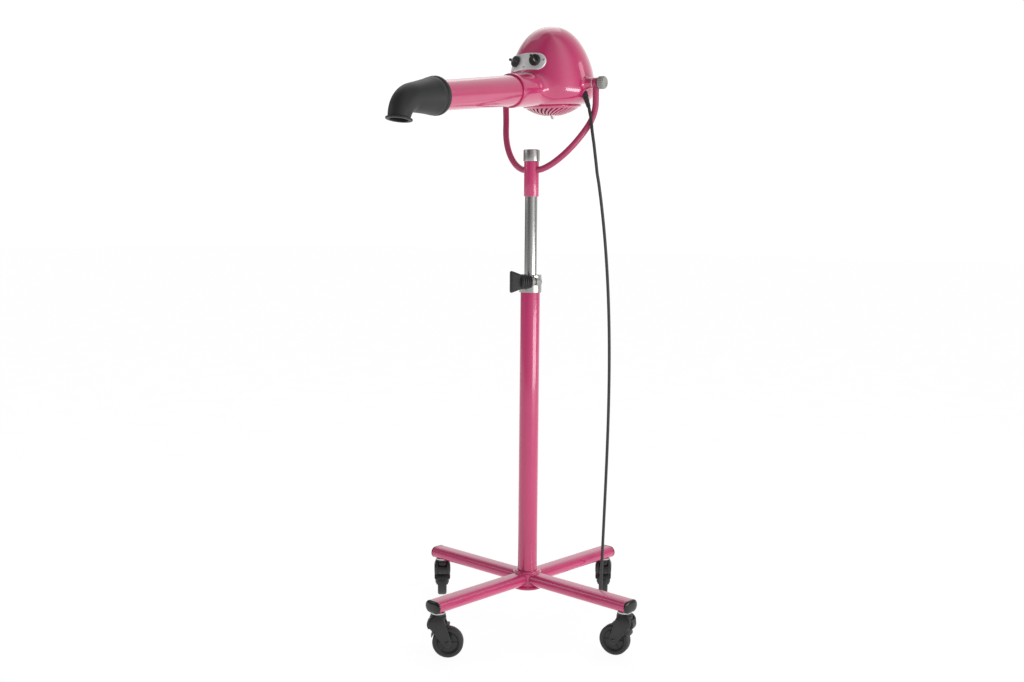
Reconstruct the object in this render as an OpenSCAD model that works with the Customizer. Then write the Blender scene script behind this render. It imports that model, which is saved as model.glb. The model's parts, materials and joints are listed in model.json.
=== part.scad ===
// Grooming stand dryer: a domed blower on a tilting fork, a telescopic column
// and a four-legged base on swivel casters. Millimetres, +Z up.
// The origin is on the floor under the column's axis, and the barrel points to -Y.

/* [Base] */
// Diameter of a caster wheel
wheel_d = 76; // [60:1:90]
// Width of a caster wheel
wheel_w = 22; // [16:1:26]
// Height of the legs' underside above the floor
caster_h = 113; // [108:1:135]
// Distance from a caster's stem to its wheel's axle
caster_trail = 24; // [18:1:30]
// Width of the flat oval leg tube
leg_w = 50; // [44:1:54]
// Height of the flat oval leg tube
leg_h = 30; // [26:1:36]
// Wall of the leg tube
leg_wall = 1.5; // [1:0.1:3]
// Reach of a leg's tube from the column's axis
leg_reach = 340; // [300:5:420]
// Distance from a leg's end to the caster stem
stem_inset = 18; // [16:1:40]
// Diameter of the hub that the legs are welded to
hub_d = 78; // [74:1:100]
// Height of the hub
hub_h = 42; // [38:1:60]
// Turn of the base about the column, against the barrel at rest
base_turn = -10; // [-45:1:45]

/* [Column] */
// Diameter of the lower column tube
column_d = 50; // [46:1:56]
// Wall of the lower column tube
column_wall = 2; // [1.5:0.1:3]
// Height of the clamp collar's lower edge above the floor
collar_z = 877; // [800:1:1000]
// Diameter of the clamp collar
collar_d = 57; // [57:1:66]
// Height of the clamp collar
collar_h = 45; // [42:1:60]
// Diameter of the sliding mast tube
mast_d = 32; // [28:1:34]
// Wall of the sliding mast tube
mast_wall = 1.5; // [1:0.1:3]
// Length of mast showing between collar and yoke sleeve
mast_showing = 198; // [195:1:300]
// Length of mast below the collar's lower edge
mast_buried = 400; // [330:5:500]
// Radius of the clamp knob's paddle
paddle_r = 28; // [24:1:30]

/* [Yoke] */
// Diameter of the yoke's sleeve
sleeve_d = 38; // [36:1:46]
// Height of the yoke's sleeve
sleeve_h = 88; // [80:1:110]
// Diameter of the sleeve's cap
cap_d = 42; // [40:1:50]
// Height of the sleeve's cap
cap_h = 30; // [20:1:40]
// Diameter of the bent yoke rod
rod_d = 16; // [12:1:17]
// Distance from the middle to each arm's centre line
yoke_half = 135; // [133:1:150]
// Height of the tilt pivot above the rod's crossing
yoke_rise = 218; // [205:1:250]
// Distance of the tilt pivot behind the column's axis
yoke_back = 85.5; // [70:0.5:100]
// Lean of the rod's lower half from upright
yoke_lean = 32; // [26:1:38]

/* [Blower head] */
// Tilt of the head at rest
head_tilt = 4; // [-20:1:20]
// Largest radius of the dome
dome_r = 110.5; // [105:0.5:111]
// Height of the dome above its widest level
dome_rise = 142; // [120:1:170]
// Depth of the dome's curve below its widest level
dome_drop = 62; // [58:1:75]
// Wall of the dome
dome_wall = 3; // [2:0.5:4]
// Diameter of the intake grille
grille_d = 146; // [140:1:148]
// Depth of the intake grille's bowl
grille_depth = 24; // [16:1:30]
// Number of slots in the intake grille
grille_slots = 30; // [20:1:40]
// Width of the control panel along the dome
panel_w = 112; // [104:1:120]
// Height of the control panel
panel_h = 44; // [40:1:50]
// Turn of the control panel from the barrel's direction
panel_turn = -9.5; // [-20:0.5:20]
// Diameter of a control knob
knob_d = 30; // [24:1:34]

/* [Barrel and elbow] */
// Droop of the barrel from the dome's level
barrel_droop = 3.3; // [0:0.1:8]
// Diameter of the barrel where it leaves the dome's socket
barrel_d = 75.4; // [72:0.2:78]
// Diameter of the barrel's tip
tip_d = 68.2; // [60:0.2:70]
// Distance from the dome's axis to the barrel's tip
barrel_reach = 522; // [420:1:560]
// Distance from the dome's axis to the socket's front edge
socket_reach = 198; // [160:1:220]
// Wall of the barrel
barrel_wall = 2; // [1.5:0.1:3]
// Straight length of the elbow before its bend
elbow_run = 70; // [55:1:90]
// Radius of the elbow's bend
elbow_bend = 52; // [48:1:80]
// Angle of the elbow's bend
elbow_turn = 74; // [45:1:85]
// Bore of the elbow's mouth
mouth_d = 43; // [40:1:50]

/* [Cord] */
// Diameter of the mains cord
cord_d = 8; // [6:0.5:8]

/* [Hidden] */

$fn = 64;
eps = 0.01;
running = 0.05;            // radial clearance of a shaft in its hole
slip = 0.3;                // gap between faces of parts that move on each other
pink = "#c9527c";
black = "#2d2d2f";
steel = "#c4c6c8";
nylon = "#e8e6e0";

// Heights of the stand, from the floor up
leg_z = caster_h + leg_h / 2;
hub_z = leg_z - hub_h / 2;
hub_floor = 6;
seat_h = 20;
column_top = collar_z + seat_h;
collar_top = collar_z + collar_h;
mast_low = collar_z - mast_buried;
sleeve_z = collar_top + mast_showing;
cross_drop = 21;           // rod's crossing below the sleeve's top
cross_z = sleeve_z + sleeve_h - cross_drop;
mast_high = cross_z - rod_d / 2 - 6;
pivot_z = cross_z + yoke_rise;
stem_reach = leg_reach - stem_inset;
column_bore = column_d - 2 * column_wall;
leg_turns = [0, 90, 180, 270];      // right, rear, left and front leg, before base_turn
caster_turns = [187, 117, 127, 32]; // direction in which each caster trails

// ------------------------------------------------------------------ helpers

function unit(v) = v / norm(v);
function flat_join(lists) = [for (l = lists) each l];

// Directions along a path of points, and a normal carried along it without twist
function tangents(p) = [for (i = [0 : len(p) - 1])
    unit(p[min(i + 1, len(p) - 1)] - p[max(i - 1, 0)])];
function carry(n, t) = unit(n - (n * t) * t);
function normals(t, first, i = 0, made = []) = i == len(t) ? made
    : normals(t, first, i + 1, concat(made, [carry(i == 0 ? first : made[i - 1], t[i])]));
function path_rings(p, radii, sides, first, ends) =
    let (t = ends == undef ? tangents(p)
            : [for (i = [0 : len(p) - 1]) i == 0 ? unit(ends[0])
                : i == len(p) - 1 ? unit(ends[1]) : tangents(p)[i]],
         n = normals(t, first))
    [for (i = [0 : len(p) - 1]) [for (k = [0 : sides - 1])
        let (a = 360 * k / sides)
        p[i] + radii[i] * (cos(a) * n[i] + sin(a) * cross(t[i], n[i]))]];
function skin(rows, sides, from = 0, flip = false) = [for (i = [0 : rows - 2], k = [0 : sides - 1])
    each let (a = from + i * sides + k, b = from + i * sides + (k + 1) % sides,
              c = b + sides, d = a + sides)
        flip ? [[a, b, c], [a, c, d]] : [[a, c, b], [a, d, c]]];

// A solid round bar along a path
module swept_bar(p, radii, sides, first, ends) {
    rows = len(p);
    rings = path_rings(p, radii, sides, first, ends);
    last = (rows - 1) * sides;
    polyhedron(flat_join(rings), concat(skin(rows, sides),
        [[for (k = [0 : sides - 1]) k]],
        [[for (k = [sides - 1 : -1 : 0]) last + k]]), convexity = 8);
}

// A pipe along a path, with its own outer and inner radii at each point
module swept_pipe(p, outer, inner, sides, first, ends) {
    rows = len(p);
    ring_out = path_rings(p, outer, sides, first, ends);
    ring_in = path_rings(p, inner, sides, first, ends);
    half = rows * sides;
    last = (rows - 1) * sides;
    polyhedron(concat(flat_join(ring_out), flat_join(ring_in)), concat(
        skin(rows, sides), skin(rows, sides, half, true),
        [for (k = [0 : sides - 1]) each let (m = (k + 1) % sides)
            [[k, m, half + m], [k, half + m, half + k]]],
        [for (k = [0 : sides - 1]) each let (m = (k + 1) % sides)
            [[last + k, half + last + m, last + m], [last + k, half + last + k, half + last + m]]]),
        convexity = 8);
}

module ring(outer_d, inner_d, h) {
    difference() {
        cylinder(d = outer_d, h = h);
        translate([0, 0, -eps]) cylinder(d = inner_d, h = h + 2 * eps);
    }
}

module flat_oval(w, h) {
    square([w - h, h], center = true);
    for (s = [-1, 1]) translate([s * (w - h) / 2, 0]) circle(d = h);
}

// ------------------------------------------------------------------ base

module at_leg(n) {
    rotate([0, 0, base_turn + leg_turns[n]]) children();
}

module base_hub() {
    color(pink) translate([0, 0, hub_z]) difference() {
        cylinder(d = hub_d, h = hub_h);
        translate([0, 0, hub_floor]) cylinder(d = column_d, h = hub_h);
    }
}

module leg_tube_shape() {
    rotate([90, 0, 90]) linear_extrude(leg_reach) difference() {
        flat_oval(leg_w, leg_h);
        flat_oval(leg_w - 2 * leg_wall, leg_h - 2 * leg_wall);
    }
}

stem_d = 10;
module base_legs() {
    color(pink) for (n = [0 : 3]) at_leg(n) difference() {
        translate([0, 0, leg_z]) leg_tube_shape();
        translate([0, 0, hub_z - 1]) cylinder(d = hub_d, h = hub_h + 2);
        translate([stem_reach, 0, caster_h - 1]) cylinder(d = stem_d, h = leg_wall + 2);
    }
}

cap_plug = 10;
cap_bulge = 6;
module leg_caps() {
    dome = 70;
    color(black) for (n = [0 : 3]) at_leg(n) translate([leg_reach, 0, leg_z]) {
        rotate([90, 0, 90]) translate([0, 0, -cap_plug]) linear_extrude(cap_plug)
            flat_oval(leg_w - 2 * leg_wall, leg_h - 2 * leg_wall);
        intersection() {
            rotate([90, 0, 90]) linear_extrude(cap_bulge) flat_oval(leg_w, leg_h);
            translate([cap_bulge - dome, 0, 0]) sphere(r = dome);
        }
    }
}

// ------------------------------------------------------------------ casters

flange_h = 3.7;
fork_top = caster_h - flange_h - slip;
stem_low = fork_top - 22;

module caster_stems() {
    color(steel) for (n = [0 : 3]) at_leg(n) translate([stem_reach, 0, 0]) {
        translate([0, 0, stem_low]) cylinder(d = stem_d, h = caster_h + 12 - stem_low);
        translate([0, 0, caster_h - flange_h]) cylinder(d = 19, h = flange_h);
    }
}

module at_caster(n) {
    at_leg(n) translate([stem_reach, 0, 0])
        rotate([0, 0, caster_turns[n] - base_turn - leg_turns[n]]) children();
}

fork_inner = wheel_w + 3;
cheek = 4;
fork_w = fork_inner + 2 * cheek;
axle_d = 8;
pin_d = 5;
pin_x = -11;
wheel_gap = 2.5;
pin_z = fork_top - 26;

module cheek_profile() {
    hull() {
        translate([caster_trail, wheel_d / 2]) circle(d = 20, $fn = 32);
        translate([0, fork_top - 22]) circle(d = 34, $fn = 32);
    }
    hull() {
        translate([pin_x, pin_z]) circle(d = 12, $fn = 32);
        translate([2, pin_z - 4]) circle(d = 16, $fn = 32);
    }
}

module hood_shape() {
    inner = wheel_d / 2 + wheel_gap;
    intersection() {
        difference() {
            circle(r = inner + 3.5);
            circle(r = inner);
        }
        polygon([[0, 0], [30, 70], [-70, 70], [-70, 34]]);
    }
}

module caster_fork(n) {
    head_h = 14;
    color(black) at_caster(n) difference() {
        union() {
            translate([0, 0, fork_top - head_h]) cylinder(d = 36, h = head_h);
            for (s = [-1, 1]) translate([0, s * (fork_inner + cheek) / 2 + cheek / 2, 0])
                rotate([90, 0, 0]) linear_extrude(cheek) cheek_profile();
            translate([caster_trail, fork_w / 2, wheel_d / 2]) rotate([90, 0, 0])
                linear_extrude(fork_w) hood_shape();
            translate([-2, -fork_w / 2, fork_top - 24]) cube([14, fork_w, 12]);
        }
        translate([caster_trail, -fork_w, wheel_d / 2]) rotate([-90, 0, 0])
            cylinder(d = axle_d, h = 2 * fork_w);
        translate([pin_x, -fork_w, pin_z]) rotate([-90, 0, 0])
            cylinder(d = pin_d + 2 * running, h = 2 * fork_w);
        translate([0, 0, stem_low - 2]) cylinder(d = stem_d + 2 * running, h = 40);
    }
}

module caster_axle(n) {
    head = 2.5;
    color(steel) at_caster(n) translate([caster_trail, 0, wheel_d / 2]) rotate([-90, 0, 0]) {
        translate([0, 0, -fork_w / 2]) cylinder(d = axle_d, h = fork_w);
        for (s = [0, 1]) mirror([0, 0, s]) translate([0, 0, fork_w / 2])
            cylinder(d1 = 13, d2 = 9, h = head);
    }
}

module caster_wheel(n) {
    r = wheel_d / 2;
    half = wheel_w / 2;
    hub = fork_inner / 2 - slip;
    bore = axle_d / 2 + running;
    color(black) at_caster(n) translate([caster_trail, 0, wheel_d / 2]) rotate([-90, 0, 0])
        rotate_extrude() polygon([[bore, -hub], [9, -hub], [10, -half + 5], [r - 11, -half + 5],
            [r - 9, -half], [r - 3, -half], [r, -half + 4], [r, half - 4], [r - 3, half],
            [r - 9, half], [r - 11, half - 5], [10, half - 5], [9, hub], [bore, hub]]);
}

module brake_pedal(n) {
    width = fork_inner - 2 * slip;
    color(black) at_caster(n) {
        translate([pin_x, fork_w / 2, pin_z]) rotate([90, 0, 0]) cylinder(d = pin_d, h = fork_w);
        translate([0, width / 2, 0]) rotate([90, 0, 0]) linear_extrude(width) {
            translate([pin_x, pin_z]) circle(d = 9);
            polygon([[pin_x - 3, pin_z + 3], [pin_x - 9, pin_z + 9], [pin_x - 14, pin_z + 5],
                [pin_x - 16, pin_z - 6], [pin_x - 12, pin_z - 20], [pin_x - 8, pin_z - 19],
                [pin_x - 8, pin_z - 7], [pin_x + 1, pin_z - 4]]);
        }
    }
}

// ------------------------------------------------------------------ column and clamp

module lower_column() {
    color(pink) translate([0, 0, hub_z + hub_floor])
        ring(column_d, column_bore, column_top - hub_z - hub_floor);
}

bush_h = 40;
module column_bush() {
    color(nylon) translate([0, 0, column_top - bush_h])
        ring(column_bore, mast_d + 2 * running, bush_h);
}

ear_turn = -42;       // direction of the clamp's ears
ear_reach = 44;       // bolt's distance from the column's axis
ear_t = 8;
ear_gap = 3;
bolt_d = 8;
bolt_z = collar_z + 29;
module at_clamp() {
    rotate([0, 0, ear_turn]) translate([ear_reach, 0, bolt_z]) children();
}

module clamp_collar() {
    color(steel) difference() {
        union() {
            translate([0, 0, collar_z]) cylinder(d = collar_d, h = collar_h - 1.5);
            translate([0, 0, collar_top - 1.5])
                cylinder(d1 = collar_d, d2 = collar_d - 3, h = 1.5);
            for (s = [-1, 1]) at_clamp() translate([0, s * (ear_gap + ear_t) / 2, 0]) {
                rotate([90, 0, 0]) cylinder(d = 20, h = ear_t, center = true);
                translate([-12, 0, 0]) cube([24, ear_t, 20], center = true);
            }
        }
        translate([0, 0, collar_z - 1]) cylinder(d = column_d, h = seat_h + 1);
        translate([0, 0, collar_z]) cylinder(d = mast_d + 2 * running, h = collar_h + 1);
        at_clamp() rotate([90, 0, 0])
            cylinder(d = bolt_d + 2 * running, h = 60, center = true);
        rotate([0, 0, ear_turn]) translate([0, -ear_gap / 2, column_top])
            cube([ear_reach + 20, ear_gap, collar_h]);
    }
}

ear_face = ear_gap / 2 + ear_t;
neck_l = 28;
knob_l = 56;
bolt_grip = 17;
module clamp_bolt() {
    head = 6.5;
    color(steel) at_clamp() rotate([90, 0, 0]) {
        translate([0, 0, -ear_face - head]) cylinder(d = 15, h = head, $fn = 6);
        translate([0, 0, -ear_face]) cylinder(d = bolt_d, h = 2 * ear_face + slip + bolt_grip);
    }
}

module paddle_profile() {
    corner = 6;
    low = neck_l - 4;
    polygon([[-17, low], [17, low], [paddle_r, knob_l - corner], [paddle_r - corner, knob_l],
        [corner - paddle_r, knob_l], [-paddle_r, knob_l - corner]]);
    for (s = [-1, 1]) translate([s * (paddle_r - corner), knob_l - corner]) circle(r = corner);
}

module clamp_knob() {
    flutes = 14;
    color(black) at_clamp() translate([0, -ear_face - slip, 0]) rotate([90, 0, 0]) difference() {
        union() {
            cylinder(d1 = 27, d2 = 38, h = neck_l);
            rotate([0, 0, 90]) intersection() {
                translate([0, 0, neck_l - 6]) linear_extrude(knob_l - neck_l + 8)
                    flat_oval(2 * paddle_r, 15);
                translate([0, 15, 0]) rotate([90, 0, 0]) linear_extrude(30) paddle_profile();
            }
        }
        translate([0, 0, -1]) cylinder(d = bolt_d + 2 * running, h = bolt_grip + 2);
        for (k = [0 : flutes - 1]) rotate([0, 0, 360 * (k + 0.5) / flutes])
            translate([15.2, 0, 4]) rotate([0, 11, 0]) cylinder(d = 3.2, h = neck_l - 5, $fn = 16);
    }
}

// ------------------------------------------------------------------ mast and yoke

module mast_tube() {
    color(steel) translate([0, 0, mast_low]) ring(mast_d, mast_d - 2 * mast_wall, mast_high - mast_low);
}

module mast_slider() {
    color(nylon) translate([0, 0, mast_low + 2])
        ring(column_bore - 2 * running, mast_d, 40);
}

module yoke_sleeve() {
    color(pink) difference() {
        translate([0, 0, sleeve_z]) ring(sleeve_d, mast_d + 2 * running, sleeve_h);
        translate([-sleeve_d, 0, cross_z]) rotate([0, 90, 0]) cylinder(d = rod_d, h = 2 * sleeve_d);
    }
}

module sleeve_cap() {
    spigot = cross_drop - rod_d / 2 - 1;
    color(steel) translate([0, 0, sleeve_z + sleeve_h]) {
        cylinder(d = cap_d, h = cap_h - 2);
        translate([0, 0, cap_h - 2]) cylinder(d1 = cap_d, d2 = cap_d - 4, h = 2);
        translate([0, 0, -spigot]) cylinder(d = mast_d + 2 * running, h = spigot);
    }
}

// The rod is bent to a U in a leaning plane, and its arms are then bent upright
arm_foot = sleeve_d / 2 + 1;   // straight part through the sleeve
u_height = 190;
u_power = 1.6;
bend_half = 30;
bend_r = 2 * bend_half / (yoke_lean * PI / 180);
bend_start = (yoke_back - bend_r * (1 - cos(yoke_lean))) / sin(yoke_lean);
bend_start_z = bend_start * cos(yoke_lean);
bend_end_z = bend_start_z + bend_r * sin(yoke_lean);
function leaning(t) = t < bend_start ? [t * sin(yoke_lean), t * cos(yoke_lean)]
    : t < bend_start + 2 * bend_half
        ? let (a = yoke_lean * (1 - (t - bend_start) / (2 * bend_half)))
          [yoke_back - bend_r * (1 - cos(a)), bend_end_z - bend_r * sin(a)]
        : [yoke_back, bend_end_z + t - bend_start - 2 * bend_half];
eye_r = 13;
eye_t = 12;
arm_top = bend_start + 2 * bend_half + yoke_rise - bend_end_z - eye_r + 4;
u_steps = 16;
function arm_shape() = concat(
    [for (k = [0 : u_steps]) let (a = 90 * k / u_steps)
        [arm_foot + (yoke_half - arm_foot) * pow(sin(a), 2 / u_power),
         u_height * (1 - pow(cos(a), 2 / u_power))]],
    [[yoke_half, (u_height + arm_top) / 2], [yoke_half, arm_top]]);
function arm_points(side) = [for (q = arm_shape()) let (l = leaning(q[1]))
    [side * q[0], l[0], cross_z + l[1]]];
function yoke_path() = let (right = arm_points(1), left = arm_points(-1), n = len(right))
    concat([for (i = [n - 1 : -1 : 0]) left[i]], right);

module yoke_rod() {
    path = yoke_path();
    color(pink) difference() {
        swept_bar(path, [for (q = path) rod_d / 2], 16, [0, 1, 0], [[0, 0, -1], [0, 0, 1]]);
        for (s = [-1, 1]) translate([s * yoke_half, yoke_back, pivot_z])
            rotate([0, 90, 0]) cylinder(r = eye_r, h = 40, center = true);
    }
}

stud_d = 8;
module yoke_eyes() {
    color(pink) for (s = [-1, 1]) translate([s * yoke_half, yoke_back, pivot_z])
        rotate([0, 90, 0]) translate([0, 0, -eye_t / 2]) ring(2 * eye_r, stud_d + 2 * running, eye_t);
}

// ------------------------------------------------------------------ head: frames and curves

dome_back = 8.5;        // dome's axis behind the tilt pivot
wide_z = 6;             // widest level above the tilt pivot
barrel_z = -5.5;          // barrel's axis at the dome's axis, from the tilt pivot

module head_frame() {
    translate([0, yoke_back, pivot_z]) rotate([head_tilt, 0, 0]) children();
}

module dome_frame() {
    head_frame() translate([0, dome_back, wide_z]) children();
}

module barrel_frame() {
    head_frame() translate([0, dome_back, barrel_z]) rotate([90 + barrel_droop, 0, 0]) children();
}

// Radius of the dome at height h over its widest level, for a dome shrunk by in
function dome_at(h, in = 0) = h >= 0
    ? (dome_r - in) * pow(max(0, 1 - pow(h / (dome_rise - in), 1.55)), 0.44)
    : (dome_r - in) * pow(max(0, 1 - pow(-h / (dome_drop - in / 2), 3.5)), 0.28);
rim_z = -0.92 * dome_drop;
dome_steps = 22;
function dome_side(in, top) = concat(
    [for (k = [0 : 10]) let (h = rim_z * (1 - k / 10)) [dome_at(h, in), h]],
    [for (k = [1 : dome_steps - 1]) let (h = (top) * (1 - pow(cos(90 * k / dome_steps), 1)))
        [dome_at(h, in), h]]);
function dome_profile(in) = let (top = dome_rise - in)
    concat([[0, rim_z]], dome_side(in, top), [[0, top]]);

socket_wall = 4.2;
socket_d = barrel_d + 2 * socket_wall;
fit = 0.1;              // radial play of a part glued or screwed in its seat

// ------------------------------------------------------------------ head: shells

pivot_boss_r = 12.5;
washer_t = 2;
boss_reach = yoke_half - eye_t / 2 - slip - washer_t;
module casing() {
    color(pink) {
        difference() {
            union() {
                dome_frame() rotate_extrude() polygon(dome_profile(0));
                barrel_frame() translate([0, 0, 70]) cylinder(d = socket_d, h = socket_reach - 70);
                head_frame() for (s = [-1, 1]) rotate([0, s * 90, 0])
                    translate([0, 0, 90]) cylinder(r1 = pivot_boss_r + 3, r2 = pivot_boss_r,
                        h = boss_reach - 90);
            }
            difference() {
                dome_frame() translate([0, 0, -eps]) rotate_extrude()
                    polygon(dome_profile(dome_wall));
                head_frame() for (s = [-1, 1]) rotate([0, s * 90, 0])
                    translate([0, 0, 96]) cylinder(r = pivot_boss_r, h = 20);
            }
            dome_frame() translate([0, 0, rim_z - 20]) {
                cylinder(r = dome_at(rim_z, dome_wall), h = 21);
                cylinder(r = seat_r + fit, h = 20 - eps);
            }
            barrel_frame() translate([0, 0, 60]) cylinder(d = barrel_d + 2 * fit, h = 200);
            head_frame() rotate([0, 90, 0]) cylinder(d = stud_d, h = 400, center = true);
            at_gland() translate([0, 0, -30]) cylinder(d = gland_d, h = 50);
            for (s = [-1, 1]) at_knob(s) translate([0, 0, -20]) cylinder(d = bushing_d + 2 * fit, h = 40);
        }
    }
}

ring_h = 4;
seat_r = dome_at(rim_z);
lip_r = dome_at(rim_z, dome_wall) - fit;
module bottom_ring() {
    inner = lip_r - 5;
    seat = grille_d / 2 + fit;
    color(pink) dome_frame() translate([0, 0, rim_z]) rotate_extrude() polygon([
        [inner, 1.5 - ring_h], [seat, 1.5 - ring_h], [seat, -ring_h], [seat_r - 1, -ring_h],
        [seat_r, 1 - ring_h], [seat_r, 0], [lip_r, 0], [lip_r, 4], [lip_r - 3, 4],
        [lip_r - 3, 0], [inner, 0]]);
}

grille_t = 3;
grille_z = rim_z - ring_h + 1.5;
bowl_r = (pow(grille_d / 2, 2) + pow(grille_depth, 2)) / (2 * grille_depth);
module bowl_disc(r, h) {
    intersection() {
        translate([0, 0, bowl_r - grille_depth]) sphere(r = r, $fn = 96);
        translate([0, 0, -60]) cylinder(d = grille_d, h = 60 + h);
    }
}

// A slot swept back like a fan blade
slot_in = 20;
slot_out = grille_d / 2 - 7;
slot_sweep = 26;
function slot_edge(turn) = [for (k = [0 : 3]) let (r = slot_in + (slot_out - slot_in) * k / 3,
    a = turn + slot_sweep * pow(k / 3, 1.3)) [r * cos(a), r * sin(a)]];
module grille_slot() {
    open_in = 2.2;
    open_out = 3.2;
    right = slot_edge(-open_out);
    left = slot_edge(open_in);
    polygon(concat(right, [for (k = [3 : -1 : 0]) left[k]]));
}

module intake_grille() {
    color(pink) dome_frame() translate([0, 0, grille_z]) difference() {
        bowl_disc(bowl_r, 0);
        bowl_disc(bowl_r - grille_t, 1);
        for (k = [0 : grille_slots - 1]) rotate([0, 0, 360 * k / grille_slots])
            translate([0, 0, -grille_depth - 5]) linear_extrude(grille_depth + 10) grille_slot();
        translate([0, 0, -grille_depth - 5]) cylinder(d = grille_stud_d + 2 * fit, h = 40);
    }
}

grille_stud_d = 6;
module grille_stud() {
    low = grille_z - grille_depth - 7.5;
    color(steel) dome_frame() {
        translate([0, 0, low]) cylinder(d = grille_stud_d, h = filter_z + filter_t + 2 - low);
        translate([0, 0, grille_z - grille_depth - 4]) cylinder(d = 11, h = 4, $fn = 6);
        translate([0, 0, filter_z + filter_t]) ring(14, grille_stud_d, 2);
    }
}

filter_z = rim_z + 0.5;
filter_t = 5;
module intake_filter() {
    color("#55585c") dome_frame() translate([0, 0, filter_z])
        ring(2 * (lip_r - 3), grille_stud_d, filter_t);
}

// ------------------------------------------------------------------ head: motor and fan

fan_r = 82;
fan_h = 34;
fan_z = filter_z + filter_t + 5;
plate_t = 3;
plate_z = -plate_t;
motor_d = 84;
motor_h = 74;
shaft_d = 8;
module motor_plate() {
    color(steel) difference() {
        dome_frame() translate([0, 0, plate_z])
            ring(2 * (dome_r - dome_wall - fit), shaft_d + 8, plate_t);
        head_frame() for (s = [-1, 1]) translate([s * 120, 0, 0]) cube([54, 36, 40], center = true);
    }
}

module motor() {
    color("#7d8085") dome_frame() {
        translate([0, 0, plate_z + plate_t]) {
            cylinder(d = motor_d, h = motor_h - 12);
            translate([0, 0, motor_h - 12]) cylinder(d1 = motor_d, d2 = 40, h = 12);
        }
        translate([0, 0, fan_z + 2]) cylinder(d = shaft_d, h = plate_z + plate_t - fan_z);
    }
}

module fan_impeller() {
    blades = 24;
    disc_t = 2;
    color("#9aa0a6") dome_frame() translate([0, 0, fan_z]) difference() {
        union() {
            translate([0, 0, fan_h - disc_t]) cylinder(r = fan_r, h = disc_t);
            ring(2 * fan_r, 2 * fan_r - 24, disc_t);
            translate([0, 0, 4]) cylinder(d1 = 20, d2 = 34, h = fan_h - 4);
            for (k = [0 : blades - 1]) rotate([0, 0, 360 * k / blades])
                translate([fan_r - 11, 0, 0]) rotate([0, 0, 35])
                    translate([-8, -0.75, 1]) cube([17, 1.5, fan_h - 2]);
        }
        translate([0, 0, -1]) cylinder(d = shaft_d + 2 * running, h = fan_h + 2);
    }
}

// ------------------------------------------------------------------ barrel, heater and elbow

barrel_in = 108;
tip_l = 22;
module barrel() {
    color(pink) barrel_frame() rotate_extrude() polygon([
        [barrel_d / 2 - barrel_wall, barrel_in], [barrel_d / 2, barrel_in],
        [barrel_d / 2, socket_reach], [tip_d / 2, barrel_reach - tip_l],
        [tip_d / 2, barrel_reach - slip], [tip_d / 2 - barrel_wall, barrel_reach - slip],
        [tip_d / 2 - barrel_wall, barrel_reach - tip_l],
        [barrel_d / 2 - barrel_wall, socket_reach]]);
}

heater_l = 150;
module heater() {
    w = barrel_d - 2 * barrel_wall - 2 * fit;
    color("#b9b3a4") barrel_frame() translate([0, 0, barrel_in + 12]) intersection() {
        union() {
            for (a = [0, 90]) rotate([0, 0, a]) translate([-w / 2, -0.75, 0]) cube([w, 1.5, heater_l]);
            for (k = [0 : 8]) translate([0, 0, 8 + k * 16]) ring(56, 51, 3);
        }
        translate([0, 0, -1]) cylinder(d1 = w, d2 = w - 3, h = heater_l + 2);
    }
}

cuff_r = 42.7;
cuff_l = 20;
elbow_wall = 3.5;
neck_r = mouth_d / 2 + elbow_wall;
elbow_sides = 32;
bend_steps = 12;
elbow_len = elbow_run + elbow_bend * elbow_turn * PI / 180;
lap_in = 2;             // length by which the pipe laps the cuff and the mouth's ring
lap_out = 1.5;
lap_r = 0.4;
seam_turn = 4;          // keeps the round pieces' seams off the pipe's edges
bore_r = tip_d / 2 + running + lap_r;
function narrowing(s) = pow(max(0, min(1, s / elbow_len)), 0.75);
function elbow_outer(s) = let (u = narrowing(s)) (cuff_r + lap_r) * (1 - u) + (neck_r + lap_r) * u;
function elbow_inner(s) = let (u = narrowing(s)) bore_r * (1 - u) + (mouth_d / 2 + lap_r) * u;
function elbow_at(s) = s <= elbow_run ? [0, 0, barrel_reach + s]
    : let (a = min(elbow_turn, (s - elbow_run) / elbow_bend * 180 / PI), t = max(0, s - elbow_len))
      [0, -elbow_bend * (1 - cos(a)) - t * sin(a),
          barrel_reach + elbow_run + elbow_bend * sin(a) + t * cos(a)];
elbow_stops = concat([-lap_in], [for (k = [1 : 3]) elbow_run * k / 4],
    [for (k = [0 : bend_steps]) elbow_run + (elbow_len - elbow_run) * k / bend_steps],
    [elbow_len + lap_out]);
module mouth_frame() {
    barrel_frame() translate([0, -elbow_bend * (1 - cos(elbow_turn)),
        barrel_reach + elbow_run + elbow_bend * sin(elbow_turn)])
        rotate([elbow_turn, 0, 0]) children();
}

mouth_l = 8;
module elbow_nozzle() {
    outer = [for (s = elbow_stops) elbow_outer(s)];
    inner = [for (s = elbow_stops) elbow_inner(s)];
    bead = 6;
    color(black) {
        barrel_frame() {
            rotate([0, 0, seam_turn]) difference() {
                union() {
                    translate([0, 0, barrel_reach - cuff_l]) cylinder(r = cuff_r, h = cuff_l);
                    translate([0, 0, barrel_reach - cuff_l + bead]) rotate_extrude()
                        translate([cuff_r + 1.5 - bead, 0]) circle(r = bead);
                }
                translate([0, 0, barrel_reach - cuff_l - 1])
                    cylinder(d = tip_d + 2 * running, h = cuff_l + 20);
            }
            swept_pipe([for (s = elbow_stops) elbow_at(s)], outer, inner, elbow_sides, [1, 0, 0],
                [[0, 0, 1], [0, -sin(elbow_turn), cos(elbow_turn)]]);
        }
        mouth_frame() rotate([0, 0, seam_turn]) difference() {
            union() {
                translate([0, 0, -0.7]) cylinder(r = neck_r, h = mouth_l + 0.7);
                translate([0, 0, mouth_l - 6]) cylinder(r1 = neck_r, r2 = neck_r + 5, h = 3);
                translate([0, 0, mouth_l - 3]) cylinder(r = neck_r + 5, h = 3);
            }
            translate([0, 0, -1]) cylinder(d = mouth_d, h = mouth_l + 2);
        }
    }
}

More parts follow.
